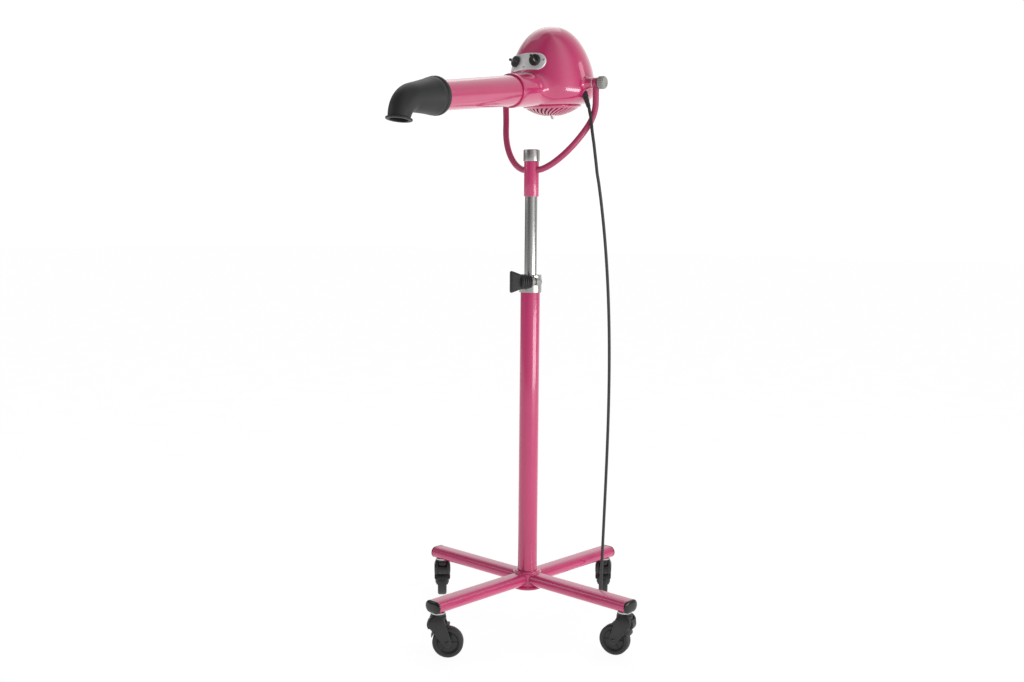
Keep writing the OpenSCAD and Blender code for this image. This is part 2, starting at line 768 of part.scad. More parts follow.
// ------------------------------------------------------------------ control panel

panel_level = 52;        // height of the panel's centre over the widest level
panel_slope = 19;        // lean of the dome's wall there
panel_t = 3;
knob_space = 60;
bushing_d = 10;

// A frame on the dome's surface, its z axis out of the wall and its y axis level
module on_dome(turn, level) {
    dome_frame() translate([0, 0, level]) rotate([0, 0, turn - 90])
        translate([dome_at(level), 0, 0]) rotate([0, 90 - panel_slope, 0]) children();
}
knob_swing = asin(knob_space / 2 / dome_at(panel_level));
knob_seat = panel_t + 0.8;
module at_knob(side) {
    on_dome(panel_turn + side * knob_swing, panel_level)
        translate([0, 0, knob_seat]) children();
}

skin_play = 0.3;         // room under the panel for the dome's chords
function shell_side(out) = [for (k = [0 : 16]) let (h = 104 * k / 16) [dome_at(h) + out, h]];
module control_panel() {
    inside = shell_side(skin_play);
    outside = shell_side(skin_play + panel_t);
    color("#dcdcde") difference() {
        intersection() {
            dome_frame() rotate_extrude()
                polygon(concat(outside, [for (k = [16 : -1 : 0]) inside[k]]));
            on_dome(panel_turn, panel_level) translate([0, 0, -40])
                rotate([0, 0, 90]) linear_extrude(52) flat_oval(panel_w, panel_h);
        }
        for (s = [-1, 1]) at_knob(s) translate([0, 0, -20])
            cylinder(d = bushing_d + 2 * fit, h = 40);
        at_screws() cylinder(d = screw_d + 2 * fit, h = 20);
    }
}

// Turn from the barrel's direction and level of each screw's head
screw_spots = [[-9.5, 37], [-40, 52], [21, 52]];
screw_d = 6.4;
screw_seat = 0.2;        // depth of a screw's seat in the panel
module at_screws() {
    for (q = screw_spots) on_dome(q[0], q[1])
        translate([0, 0, skin_play + panel_t - screw_seat]) children();
}
module panel_screws() {
    color(steel) at_screws() cylinder(d1 = screw_d, d2 = screw_d - 2, h = 1.4);
}

module rotary_switches() {
    body_l = 18;
    depth = knob_seat + dome_wall + 2.5;
    color("#3a3a3c") for (s = [-1, 1]) at_knob(s) {
        translate([0, 0, -depth - body_l]) cylinder(d = 30, h = body_l);
        translate([0, 0, -depth]) cylinder(d = bushing_d, h = depth);
        cylinder(d = 6, h = 10);
    }
}

knob_h = 9;
module control_knob(side, pointer) {
    color(black) at_knob(side) rotate([0, 0, pointer]) difference() {
        union() {
            translate([0, 0, slip]) cylinder(d1 = knob_d, d2 = knob_d - 3, h = knob_h);
            translate([1 - knob_d / 2, -4, slip]) cube([knob_d - 2, 8, knob_h + 8]);
        }
        translate([0, 0, -1]) cylinder(d = 6 + 2 * running, h = 11.5 + slip);
    }
}
module speed_knob() control_knob(1, 40);
module heat_knob() control_knob(-1, 80);

// ------------------------------------------------------------------ tilt pivots

module pivot_studs() {
    color(steel) head_frame() for (s = [-1, 1]) rotate([0, s * 90, 0])
        translate([0, 0, 98]) cylinder(d = stud_d, h = yoke_half + 20 - 98);
}

module pivot_washers() {
    color(nylon) head_frame() for (s = [-1, 1]) rotate([0, s * 90, 0])
        translate([0, 0, boss_reach]) ring(24, stud_d, washer_t);
}

tilt_knob_l = 21;
module tilt_knob(side) {
    r = 16;
    color("#a9aaa8") head_frame() rotate([0, side * 90, 0])
        translate([0, 0, yoke_half + eye_t / 2 + slip]) difference() {
            rotate_extrude() polygon(concat([[0, 0], [9, 0], [9, 3], [r - 1, 3], [r, 4]],
                [for (k = [0 : 6]) let (a = 90 * k / 6)
                    [r - 5 + 5 * cos(a), tilt_knob_l - 5 + 5 * sin(a)]], [[0, tilt_knob_l]]));
            translate([0, 0, -1]) cylinder(d = stud_d + 2 * running, h = 1 + 14.5);
            for (k = [0 : 15]) rotate([0, 0, 22.5 * k]) translate([r + 0.6, 0, 4])
                cylinder(d = 2.6, h = tilt_knob_l, $fn = 16);
        }
}

// ------------------------------------------------------------------ cord

gland_d = 16;
gland_l = 36;
gland_turn = 82.3;      // direction of the gland from the barrel's
gland_level = -34;      // height of the gland over the widest level
gland_pitch = 147;      // its axis, from straight up
gland_yaw = -34;
gland_in = 8;
gland_foot = [dome_at(gland_level) * sin(gland_turn),
    dome_back - dome_at(gland_level) * cos(gland_turn), wide_z + gland_level];
gland_axis = [sin(gland_pitch) * cos(gland_yaw), sin(gland_pitch) * sin(gland_yaw),
    cos(gland_pitch)];
function tilted(v) = [v[0], v[1] * cos(head_tilt) - v[2] * sin(head_tilt),
    v[1] * sin(head_tilt) + v[2] * cos(head_tilt)];
cord_start = [0, yoke_back, pivot_z] + tilted(gland_foot + gland_l * gland_axis);

module at_gland() {
    head_frame() translate(gland_foot) rotate([0, gland_pitch, gland_yaw]) children();
}

module cord_gland() {
    color(black) at_gland() {
        translate([0, 0, -gland_in]) cylinder(d = gland_d, h = gland_in + 6);
        translate([0, 0, 6]) cylinder(d1 = gland_d - 1, d2 = cord_d + 2.5, h = gland_l - 6);
    }
}

// Route of the free cord below the gland's boot, from its tip
lead_route = [[0, 0, 0], [2.2, -1.4, -4], [4.5, -2.8, -12], [7.5, -4.6, -20], [10, -6, -27],
    [14, -9, -42], [17, -11, -59], [20, -11, -77], [22, -9, -94]];
sway_route = [[22, -9, -94], [24, -6, -119], [25, -1, -144], [26, 3, -167], [28, 8, -190],
    [30, 15, -224]];
cord_z = cord_d / 2;
floor_foot = [95, 232];      // where the hanging cord reaches the floor
floor_bend = 45;
split_z = 1000;              // height where the mast's piece of cord begins
drop_end = 60;
function hermite(a, b, ma, mb, u) = a * (2 * u * u * u - 3 * u * u + 1) + ma * (u * u * u - 2 * u * u + u)
    + b * (3 * u * u - 2 * u * u * u) + mb * (u * u * u - u * u);
drop_from = cord_start + sway_route[5];
drop_h = drop_from[2] - drop_end;
function drop_point(u) = [
    hermite(drop_from[0], floor_foot[0], 0.05 * drop_h, -0.04 * drop_h, u),
    hermite(drop_from[1], floor_foot[1], 0.2 * drop_h, 0.03 * drop_h, u),
    drop_from[2] - u * drop_h];
split_u = (drop_from[2] - split_z) / drop_h;
function upper_path() = concat([for (q = sway_route) cord_start + q],
    [for (k = [1 : 5]) drop_point(split_u * k / 5)]);
split_gap = 0.1 / drop_h;    // a hair's breadth between the two pieces of cord
function lower_path() = [for (k = [0 : 32])
    drop_point(split_u + (1 - split_u) * k / 32 + (k == 0 ? split_gap : 0))];

// The coil lies on the floor between the rear legs
coil_at = [-199, 318];
coil_r = 52;
turn_gap = 0.6;
coil_pitch = cord_d + turn_gap;
layer_turns = 2;
coil_low = cord_z + 1.6;
coil_end = 1517;             // direction of the coil's last point, counted on from its first
coil_tail = 40;              // straight length from there to the plug
away = coil_at - floor_foot;
run_heading = atan2(away[1], away[0]) - asin(coil_r / norm(away));
coil_start = run_heading - 90;
climb_from = coil_start + 360 * layer_turns;
inner_r = coil_r - layer_turns * coil_pitch;
function coil_radius(a) = a < climb_from ? coil_r - coil_pitch * (a - coil_start) / 360
    : a < climb_from + 180 ? inner_r - 2.5 * sin(a - climb_from)
    : inner_r + coil_pitch * (a - climb_from - 180) / 360;
function soft(u) = u * u * (3 - 2 * u);
function coil_height(a) = coil_low
    + coil_pitch * soft(min(1, max(0, (a - climb_from) / 180)));
function coil_point(a) = [coil_at[0] + coil_radius(a) * cos(a), coil_at[1] + coil_radius(a) * sin(a),
    coil_height(a)];
function heading(a) = [cos(a), sin(a), 0];
coil_steps = ceil((coil_end - coil_start) / 15);
function coil_path() = let (first = coil_point(coil_start), last = coil_point(coil_end))
    concat([first - cord_d * heading(run_heading)],
        [for (k = [0 : coil_steps]) coil_point(coil_start + (coil_end - coil_start) * k / coil_steps)],
        [for (k = [1 : 3]) last + coil_tail * k / 3 * heading(coil_end + 90)]);
function coil_gap() = let (p = coil_path(), n = len(p))
    min([for (i = [0 : n - 20], j = [i + 16 : n - 1]) norm(p[i] - p[j])]) - cord_d;
echo(least_gap_of_the_coil = coil_gap());

function floor_path() = let (far = coil_point(coil_start) - cord_d * heading(run_heading),
        near = concat(floor_foot, [0]) + floor_bend * heading(run_heading),
        side = heading(run_heading + 90), n = 14)
    concat([drop_point(1)], [for (a = [0 : 15 : 90]) concat(floor_foot, [cord_z + floor_bend])
            + floor_bend * (1 - cos(a)) * heading(run_heading) - [0, 0, floor_bend * sin(a)]],
        [for (k = [1 : n]) let (u = k / n) near + u * (far - near - [0, 0, far[2]])
            + 4 * (1 - cos(360 * u)) * side
            + [0, 0, cord_z + (far[2] - cord_z) * soft(max(0, 3 * u - 2))]]);

module cord_tube(p, ends, sides = 8) {
    color(black) swept_bar(p, [for (q = p) cord_z], sides, [0.6, 0.8, 0.1], ends);
}

lead_end = [2, 2, -17];
split_slope = drop_point(split_u + 0.01) - drop_point(split_u - 0.01);
drop_slope = drop_point(1) - drop_point(0.99);
module cord_lead() cord_tube([for (q = lead_route) cord_start + q], [tilted(gland_axis), lead_end]);
module cord_upper() cord_tube(upper_path(), [lead_end, split_slope]);
module cord_lower() cord_tube(lower_path(), [split_slope, drop_slope]);
module cord_floor() cord_tube(floor_path(), [drop_slope, heading(run_heading)]);
module cord_coil() cord_tube(coil_path(), [heading(run_heading), heading(coil_end + 90)], 6);

tie_turn = 250;
tie_t = 1;
tie_w = 6;
module cord_tie() {
    play = 0.4;
    out_r = coil_radius(tie_turn) + cord_z + play;
    in_r = coil_radius(tie_turn + 720) - cord_z - play;
    low = coil_low - cord_z - play;
    high = coil_low + coil_pitch + cord_z + play;
    color("#e9e9e6") translate([coil_at[0], coil_at[1], 0]) rotate([0, 0, tie_turn])
        translate([0, tie_w / 2, 0]) rotate([90, 0, 0]) linear_extrude(tie_w) difference() {
            translate([in_r - tie_t, low - tie_t]) square([out_r - in_r + 2 * tie_t, high - low + 2 * tie_t]);
            translate([in_r, low]) square([out_r - in_r, high - low]);
        }
}

plug_r = coil_low + coil_pitch - 0.1;
module cord_plug() {
    body = 30;
    color(black) translate(coil_point(coil_end) + coil_tail * heading(coil_end + 90))
        rotate([0, 0, coil_end + 90]) rotate([0, 90, 0]) {
            cylinder(d1 = cord_d + 3, d2 = 2 * plug_r - 4, h = 14);
            translate([0, 0, 14]) cylinder(r = plug_r, h = body - 14);
            for (s = [-1, 1]) translate([0, 9.5 * s, body]) cylinder(d = 4.8, h = 19, $fn = 24);
        }
}

// ------------------------------------------------------------------ assembly

base_hub();
base_legs();
leg_caps();
lower_column();
column_bush();
clamp_collar();
clamp_bolt();
caster_stems();
clamp_knob();
mast_tube();
mast_slider();
yoke_sleeve();
yoke_rod();
yoke_eyes();
sleeve_cap();
casing();
bottom_ring();
intake_grille();
grille_stud();
intake_filter();
barrel();
heater();
motor();
motor_plate();
fan_impeller();
control_panel();
panel_screws();
rotary_switches();
speed_knob();
heat_knob();
pivot_studs();
pivot_washers();
tilt_knob(1);  // tilt_knob_right
tilt_knob(-1);  // tilt_knob_left
cord_gland();
elbow_nozzle();
cord_lead();
cord_upper();
cord_lower();
cord_floor();
cord_coil();
cord_tie();
cord_plug();
caster_fork(0);  // caster_fork_1
caster_fork(1);  // caster_fork_2
caster_fork(2);  // caster_fork_3
caster_fork(3);  // caster_fork_4
caster_axle(0);  // caster_axle_1
caster_axle(1);  // caster_axle_2
caster_axle(2);  // caster_axle_3
caster_axle(3);  // caster_axle_4
caster_wheel(0);  // caster_wheel_1
caster_wheel(1);  // caster_wheel_2
caster_wheel(2);  // caster_wheel_3
caster_wheel(3);  // caster_wheel_4
brake_pedal(0);  // brake_pedal_1
brake_pedal(1);  // brake_pedal_2
brake_pedal(2);  // brake_pedal_3
brake_pedal(3);  // brake_pedal_4
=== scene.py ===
"""Visual model of a grooming stand dryer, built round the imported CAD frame.

Sizes are in millimetres and degrees until a mesh is made; meshes, lamps and the camera are in
metres. A profile's points are (radius, height, corner radius), and it is spun round z.
"""
import json
import math

import bmesh
import bpy
from mathutils import Matrix, Vector


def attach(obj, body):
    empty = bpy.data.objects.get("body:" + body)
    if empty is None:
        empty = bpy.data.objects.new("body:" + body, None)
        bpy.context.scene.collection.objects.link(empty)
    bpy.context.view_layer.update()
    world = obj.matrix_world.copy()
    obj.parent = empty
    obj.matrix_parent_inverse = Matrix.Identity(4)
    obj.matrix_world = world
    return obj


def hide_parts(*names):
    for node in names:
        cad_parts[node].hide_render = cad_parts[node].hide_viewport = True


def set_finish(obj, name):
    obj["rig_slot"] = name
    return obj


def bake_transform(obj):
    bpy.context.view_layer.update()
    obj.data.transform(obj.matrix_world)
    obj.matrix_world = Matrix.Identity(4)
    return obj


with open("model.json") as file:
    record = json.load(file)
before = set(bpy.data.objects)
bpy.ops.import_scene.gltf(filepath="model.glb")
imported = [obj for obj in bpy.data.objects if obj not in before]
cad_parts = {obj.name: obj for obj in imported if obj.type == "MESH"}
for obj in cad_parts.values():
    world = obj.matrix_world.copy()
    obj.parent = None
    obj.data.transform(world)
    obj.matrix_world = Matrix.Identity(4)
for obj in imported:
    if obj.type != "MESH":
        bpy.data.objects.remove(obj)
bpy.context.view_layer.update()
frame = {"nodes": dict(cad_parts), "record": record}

NODES = frame["nodes"]
SCENE = bpy.context.scene
MM = 0.001


# -------------------- small helpers

def sind(a):
    return math.sin(math.radians(a))


def cosd(a):
    return math.cos(math.radians(a))


def clamp(u, low=0.0, high=1.0):
    return max(low, min(high, u))


def soft(u):
    return u * u * (3 - 2 * u)


def move(x, y, z):
    return Matrix.Translation((x, y, z))


def turn(axis, angle):
    return Matrix.Rotation(math.radians(angle), 4, axis)


def hermite(a, b, ma, mb, u):
    return (a * (2 * u ** 3 - 3 * u * u + 1) + ma * (u ** 3 - 2 * u * u + u)
            + b * (3 * u * u - 2 * u ** 3) + mb * (u ** 3 - u * u))


# -------------------- materials

def new_material(name):
    material = bpy.data.materials.new(name)
    material.use_nodes = True
    tree = material.node_tree
    shader = tree.nodes["Principled BSDF"]
    return material, tree, shader


def noise(tree, scale, detail=3.0, stretch=(1, 1, 1), rough=0.55):
    place = tree.nodes.new("ShaderNodeTexCoord")
    mapping = tree.nodes.new("ShaderNodeMapping")
    mapping.inputs["Scale"].default_value = stretch
    tree.links.new(place.outputs["Object"], mapping.inputs["Vector"])
    pattern = tree.nodes.new("ShaderNodeTexNoise")
    pattern.inputs["Scale"].default_value = scale
    pattern.inputs["Detail"].default_value = detail
    pattern.inputs["Roughness"].default_value = rough
    tree.links.new(mapping.outputs["Vector"], pattern.inputs["Vector"])
    return pattern


def ramp(tree, source, low, high, start=0.3, end=0.7):
    step = tree.nodes.new("ShaderNodeMapRange")
    step.inputs["From Min"].default_value = start
    step.inputs["From Max"].default_value = end
    step.inputs["To Min"].default_value = low
    step.inputs["To Max"].default_value = high
    tree.links.new(source, step.inputs["Value"])
    return step.outputs["Result"]


def two_colours(tree, shader, source, first, second, start=0.3, end=0.7):
    mix = tree.nodes.new("ShaderNodeMix")
    mix.data_type = "RGBA"
    mix.inputs[6].default_value = (*first, 1)
    mix.inputs[7].default_value = (*second, 1)
    tree.links.new(ramp(tree, source, 0, 1, start, end), mix.inputs[0])
    tree.links.new(mix.outputs[2], shader.inputs["Base Color"])


def bump(tree, shader, source, strength, distance, edge=0.0):
    relief = tree.nodes.new("ShaderNodeBump")
    relief.inputs["Strength"].default_value = strength
    relief.inputs["Distance"].default_value = distance
    tree.links.new(source, relief.inputs["Height"])
    if edge:
        rounding = tree.nodes.new("ShaderNodeBevel")
        rounding.samples = 4
        rounding.inputs["Radius"].default_value = edge
        tree.links.new(rounding.outputs["Normal"], relief.inputs["Normal"])
    tree.links.new(relief.outputs["Normal"], shader.inputs["Normal"])


FINISHES = {}


def finish_of(name, dark, light, roughness, grain, relief=(0.1, 0.0001), metallic=0.0,
              coat=0.0, coat_roughness=0.05, stretch=(1, 1, 1), edge=0.0006, specular=0.5,
              detail=3.0, blotch=6.0, coat_ior=1.5):
    """Colour that drifts between two tones, roughness that varies and a fine relief."""
    material, tree, shader = new_material(name)
    broad = noise(tree, blotch, 2.0)
    fine = noise(tree, grain, detail, stretch)
    two_colours(tree, shader, broad.outputs["Fac"], dark, light)
    tree.links.new(ramp(tree, fine.outputs["Fac"], roughness[0], roughness[1]),
                   shader.inputs["Roughness"])
    shader.inputs["Metallic"].default_value = metallic
    shader.inputs["Specular IOR Level"].default_value = specular
    shader.inputs["Coat Weight"].default_value = coat
    shader.inputs["Coat Roughness"].default_value = coat_roughness
    shader.inputs["Coat IOR"].default_value = coat_ior
    bump(tree, shader, fine.outputs["Fac"], *relief, edge)
    FINISHES[name] = material
    return material


PINK = ((0.56, 0.033, 0.150), (0.63, 0.042, 0.178))
paint = finish_of("pink_paint", *PINK, (0.22, 0.30), 900, (0.05, 0.0001), coat=0.7,
                  coat_roughness=0.08)
shell = finish_of("pink_shell", (0.53, 0.022, 0.130), (0.60, 0.028, 0.154), (0.18, 0.26), 700,
                  (0.04, 0.0001), coat=1.0, coat_roughness=0.07, coat_ior=1.62)
rod_paint = finish_of("pink_rod", (0.40, 0.034, 0.115), (0.48, 0.045, 0.142), (0.34, 0.44),
                      700, (0.08, 0.0001), coat=0.25, coat_roughness=0.15)
black_plastic = finish_of("black_plastic", (0.012, 0.013, 0.0125), (0.020, 0.021, 0.020),
                          (0.38, 0.52), 1600, (0.25, 0.0002))
gloss_black = finish_of("cap_plastic", (0.007, 0.008, 0.0075), (0.011, 0.012, 0.0115),
                        (0.16, 0.24), 900, (0.05, 0.0001))
black_rubber = finish_of("black_rubber", (0.013, 0.015, 0.014), (0.022, 0.025, 0.023),
                         (0.42, 0.56), 1200, (0.2, 0.0002), specular=0.4)
chrome = finish_of("chrome", (0.46, 0.455, 0.445), (0.54, 0.535, 0.525), (0.18, 0.24), 500,
                   (0.03, 0.0001), metallic=1.0, stretch=(1, 1, 0.02))
steel = finish_of("steel", (0.50, 0.50, 0.49), (0.62, 0.62, 0.61), (0.22, 0.34), 700,
                  (0.08, 0.0001), metallic=1.0)
finish_of("nylon", (0.70, 0.69, 0.65), (0.78, 0.77, 0.73), (0.45, 0.55), 900)
grey_plastic = finish_of("grey_plastic", (0.27, 0.265, 0.25), (0.34, 0.335, 0.32),
                         (0.38, 0.50), 1400, (0.2, 0.0002))
panel_silver = finish_of("panel_silver", (0.74, 0.73, 0.74), (0.82, 0.81, 0.82),
                         (0.34, 0.46), 1500, (0.12, 0.0001), metallic=0.35)
finish_of("fan_plastic", (0.30, 0.31, 0.32), (0.36, 0.37, 0.38), (0.45, 0.55), 900)
# Dark foam tone of the filter pad; it also colours the lining that paints shade into the grille's
# slots
foam = finish_of("filter_foam", (0.050, 0.052, 0.056), (0.085, 0.088, 0.094),
                 (0.85, 0.98), 1500, (0.9, 0.001), detail=6.0)
finish_of("mica", (0.45, 0.41, 0.33), (0.55, 0.50, 0.42), (0.4, 0.6), 400)
finish_of("motor_metal", (0.20, 0.21, 0.22), (0.28, 0.29, 0.30), (0.35, 0.5), 600,
          metallic=0.8)
tyre = finish_of("tyre", (0.016, 0.016, 0.017), (0.030, 0.030, 0.031), (0.50, 0.66), 1300,
                 (0.3, 0.0002))
cast_steel = finish_of("clamp_steel", (0.36, 0.365, 0.35), (0.46, 0.465, 0.45), (0.20, 0.30), 800,
                       metallic=1.0)
tie_white = finish_of("tie_white", (0.70, 0.70, 0.68), (0.78, 0.78, 0.76), (0.4, 0.5), 900)
pvc = finish_of("cord_pvc", (0.022, 0.022, 0.023), (0.034, 0.034, 0.035), (0.40, 0.52), 1500,
                (0.15, 0.0001))

BY_NODE = {"clamp_collar": cast_steel, "clamp_bolt": cast_steel}
BY_NODE.update((f"caster_axle_{n}", black_plastic) for n in range(1, 5))
for part in frame["record"]["subparts"]:
    slots = NODES[part["node"]].data.materials
    slots.clear()
    slots.append(BY_NODE.get(part["node"], FINISHES[part["material_slot"]]))


# -------------------- meshes

def piece(name, verts, faces, material, slot, body=None, place=Matrix(), sharp=38):
    """A mesh piece from points in mm, placed by a matrix in mm, with its creases kept."""
    mesh = bpy.data.meshes.new(name)
    mesh.from_pydata([(place @ Vector(v)) * MM for v in verts], [], faces)
    work = bmesh.new()
    work.from_mesh(mesh)
    bmesh.ops.remove_doubles(work, verts=work.verts, dist=1e-7)
    bmesh.ops.recalc_face_normals(work, faces=work.faces)
    work.to_mesh(mesh)
    work.free()
    mesh.materials.append(material)
    for polygon in mesh.polygons:
        polygon.use_smooth = True
    mesh.set_sharp_from_angle(angle=math.radians(sharp))
    obj = bpy.data.objects.new(name, mesh)
    SCENE.collection.objects.link(obj)
    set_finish(obj, slot)
    if body:
        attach(obj, body)
    return obj


def spun(profile, n=72, closed=False):
    """Points and faces of a profile of (radius, height) turned round the z axis."""
    verts, faces, rows = [], [], []
    for r, z in profile:
        if r < 1e-6:
            rows.append([len(verts)])
            verts.append((0, 0, z))
        else:
            rows.append(list(range(len(verts), len(verts) + n)))
            verts += [(r * cosd(360 * k / n), r * sind(360 * k / n), z) for k in range(n)]
    pairs = list(zip(rows, rows[1:])) + ([(rows[-1], rows[0])] if closed else [])
    for low, high in pairs:
        for k in range(n):
            m = (k + 1) % n
            corners = [low[k % len(low)], low[m % len(low)], high[m % len(high)],
                       high[k % len(high)]]
            face = list(dict.fromkeys(corners))
            if len(face) > 2:
                faces.append(face)
    return verts, faces


def filleted(points, closed=False, steps=4):
    """Points of (x, y, radius): each corner is rounded by its own radius."""
    out = []
    n = len(points)
    for i, (x, y, r) in enumerate(points):
        here = Vector((x, y))
        if r <= 0 or (not closed and i in (0, n - 1)):
            out.append((x, y))
            continue
        before, after = (Vector(points[(i + d) % n][:2]) - here for d in (-1, 1))
        half = before.angle(after) / 2
        reach = min(r / math.tan(half), 0.49 * before.length, 0.49 * after.length)
        radius = reach * math.tan(half)
        middle = here + (before.normalized() + after.normalized()).normalized() \
            * (radius / math.sin(half))
        first = here + before.normalized() * reach - middle
        last = here + after.normalized() * reach - middle
        span = first.angle_signed(last)
        for k in range(steps + 1):
            a = -span * k / steps
            spoke = Vector((first.x * math.cos(a) - first.y * math.sin(a),
                            first.x * math.sin(a) + first.y * math.cos(a)))
            out.append(tuple(middle + spoke))
    return out


def rings_along(path, sections, first=(1, 0, 0), ends=(None, None)):
    """A ring of 3-D points round each path point, carried without twist."""
    points = [Vector(p) for p in path]
    last = len(points) - 1
    rows, normal = [], Vector(first)
    for i, point in enumerate(points):
        along = points[min(i + 1, last)] - points[max(i - 1, 0)]
        if i == 0 and ends[0]:
            along = Vector(ends[0])
        if i == last and ends[1]:
            along = Vector(ends[1])
        along.normalize()
        normal = (normal - normal.dot(along) * along).normalized()
        other = along.cross(normal)
        rows.append([point + x * normal + y * other for x, y in sections(i)])
    return rows


def skin(rows, capped=True, closed=False):
    """Points and faces over rows of ring points."""
    n = len(rows[0])
    verts = [p for row in rows for p in row]
    count = len(rows) if closed else len(rows) - 1
    faces = []
    for i in range(count):
        a, b = i * n, ((i + 1) % len(rows)) * n
        faces += [(a + k, a + (k + 1) % n, b + (k + 1) % n, b + k) for k in range(n)]
    if capped and not closed:
        faces += [tuple(range(n))[::-1], tuple(range((len(rows) - 1) * n, len(rows) * n))]
    return verts, faces


def round_section(r, sides=20):
    return [(r * cosd(360 * k / sides), r * sind(360 * k / sides)) for k in range(sides)]


def smooth_path(points, between=4):
    """A Catmull-Rom line through the points."""
    p = [Vector(q) for q in points]
    p = [2 * p[0] - p[1]] + p + [2 * p[-1] - p[-2]]
    out = []
    for i in range(1, len(p) - 2):
        a, b, c, d = p[i - 1:i + 3]
        for k in range(between):
            u = k / between
            out.append(0.5 * (2 * b + (c - a) * u + (2 * a - 5 * b + 4 * c - d) * u * u
                              + (3 * b - a - 3 * c + d) * u ** 3))
    return out + [p[-2]]


def softened(obj, width, segments=3, angle=35):
    """Rounded edges, in mm."""
    bevel = obj.modifiers.new("edges", "BEVEL")
    bevel.width = width * MM
    bevel.segments = segments
    bevel.limit_method = "ANGLE"
    bevel.angle_limit = math.radians(angle)
    bevel.harden_normals = True
    return obj


def prism(outline, low, high):
    """Points and faces of a flat outline raised from low to high."""
    n = len(outline)
    verts = [(x, y, low) for x, y in outline] + [(x, y, high) for x, y in outline]
    faces = [tuple(range(n))[::-1], tuple(range(n, 2 * n))]
    return verts, faces + [(k, (k + 1) % n, n + (k + 1) % n, n + k) for k in range(n)]


def stadium(width, height, steps=12):
    """Outline with round ends, wide along x."""
    r, mid = height / 2, (width - height) / 2
    return ([(mid + r * cosd(a), r * sind(a)) for a in
             (-90 + 180 * k / steps for k in range(steps + 1))]
            + [(-mid - r * cosd(a), -r * sind(a)) for a in
               (-90 + 180 * k / steps for k in range(steps + 1))])


def joined(*shapes):
    """Several (points, faces) as one."""
    verts, faces = [], []
    for points, polygons in shapes:
        faces += [tuple(len(verts) + i for i in f) for f in polygons]
        verts += points
    return verts, faces


def placed(shape, matrix):
    verts, faces = shape
    return [matrix @ Vector(v) for v in verts], faces


# -------------------- sizes of the CAD

BASE_TURN = -10
LEG_TURNS = (0, 90, 180, 270)
CASTER_TURNS = (187, 117, 127, 32)
CASTER_H, CASTER_TRAIL = 113, 24
LEG_W, LEG_H, LEG_REACH = 50, 30, 340
STEM_REACH = 322
LEG_Z = CASTER_H + LEG_H / 2
HUB_H = 42
HUB_Z = LEG_Z - HUB_H / 2
COLUMN_D, COLUMN_TOP = 50, 897
COLLAR_Z = 877
MAST_D, MAST_LOW, MAST_HIGH = 32, 477, 1173
SLEEVE_Z, SLEEVE_D, SLEEVE_H = 1120, 38, 88
CAP_D, CAP_H = 42, 30
ROD_D, CROSS_Z = 16, 1187
YOKE_HALF, YOKE_RISE, YOKE_BACK, YOKE_LEAN = 135, 218, 85.5, 32
PIVOT_Z = CROSS_Z + YOKE_RISE
HEAD_TILT = 4
DOME_R, DOME_RISE, DOME_DROP, DOME_WALL = 110.5, 142, 62, 3
BARREL_DROOP, BARREL_D, TIP_D, BARREL_REACH = 3.3, 75.4, 68.2, 522
SOCKET_REACH, SOCKET_D, BARREL_WALL = 198, 83.8, 2
CORD_D = 8

# The head's frame has the tilt axis along x; the dome and barrel sit a little behind it
DOME_BACK, DOME_UP, BARREL_UP = 8.5, 6, -5.5
HEAD = move(0, YOKE_BACK, PIVOT_Z) @ turn("X", HEAD_TILT)
DOME = HEAD @ move(0, DOME_BACK, DOME_UP)
BARREL = HEAD @ move(0, DOME_BACK, BARREL_UP) @ turn("X", 90 + BARREL_DROOP)


def at_leg(n):
    """The frame of a leg: x runs out along it."""
    return turn("Z", BASE_TURN + LEG_TURNS[n])


def at_caster(n):
    """The frame of a caster on its stem: x points to its wheel."""
    return (at_leg(n) @ move(STEM_REACH, 0, 0)
            @ turn("Z", CASTER_TURNS[n] - BASE_TURN - LEG_TURNS[n]))


def bulge(h, radius, rise, drop):
    """Radius of an egg shape at height h: pointed above its widest line, full below it."""
    if h >= 0:
        return radius * max(0, 1 - (h / rise) ** 1.55) ** 0.44
    return radius * max(0, 1 - (-h / drop) ** 3.5) ** 0.28


def dome_at(h):
    return bulge(h, DOME_R, DOME_RISE, DOME_DROP)


# -------------------- camera, floor, light

# The camera stands in metres; its three small turns in radians straighten the picture
VIEW_TURN = 32.0
YAW, PITCH, ROLL = -0.0151, 0.1057, 0.0091
EYE = (1.5978, -2.5570, 1.0705)
LENS = 41.42

level_forward = Vector((math.sin(YAW), math.cos(YAW), 0))
level_right = Vector((math.cos(YAW), -math.sin(YAW), 0))
forward = math.cos(PITCH) * level_forward - math.sin(PITCH) * Vector((0, 0, 1))
upward = math.sin(PITCH) * level_forward + math.cos(PITCH) * Vector((0, 0, 1))
right = math.cos(ROLL) * level_right + math.sin(ROLL) * upward
upward = math.cos(ROLL) * upward - math.sin(ROLL) * level_right
basis = Matrix((right, upward, -forward)).transposed().to_4x4()
camera = bpy.data.objects.new("camera", bpy.data.cameras.new("camera"))
camera.data.sensor_fit = "HORIZONTAL"
camera.data.sensor_width = 36
camera.data.lens = LENS
camera.matrix_world = Matrix.Translation(EYE) @ turn("Z", VIEW_TURN) @ basis
SCENE.collection.objects.link(camera)
SCENE.camera = camera

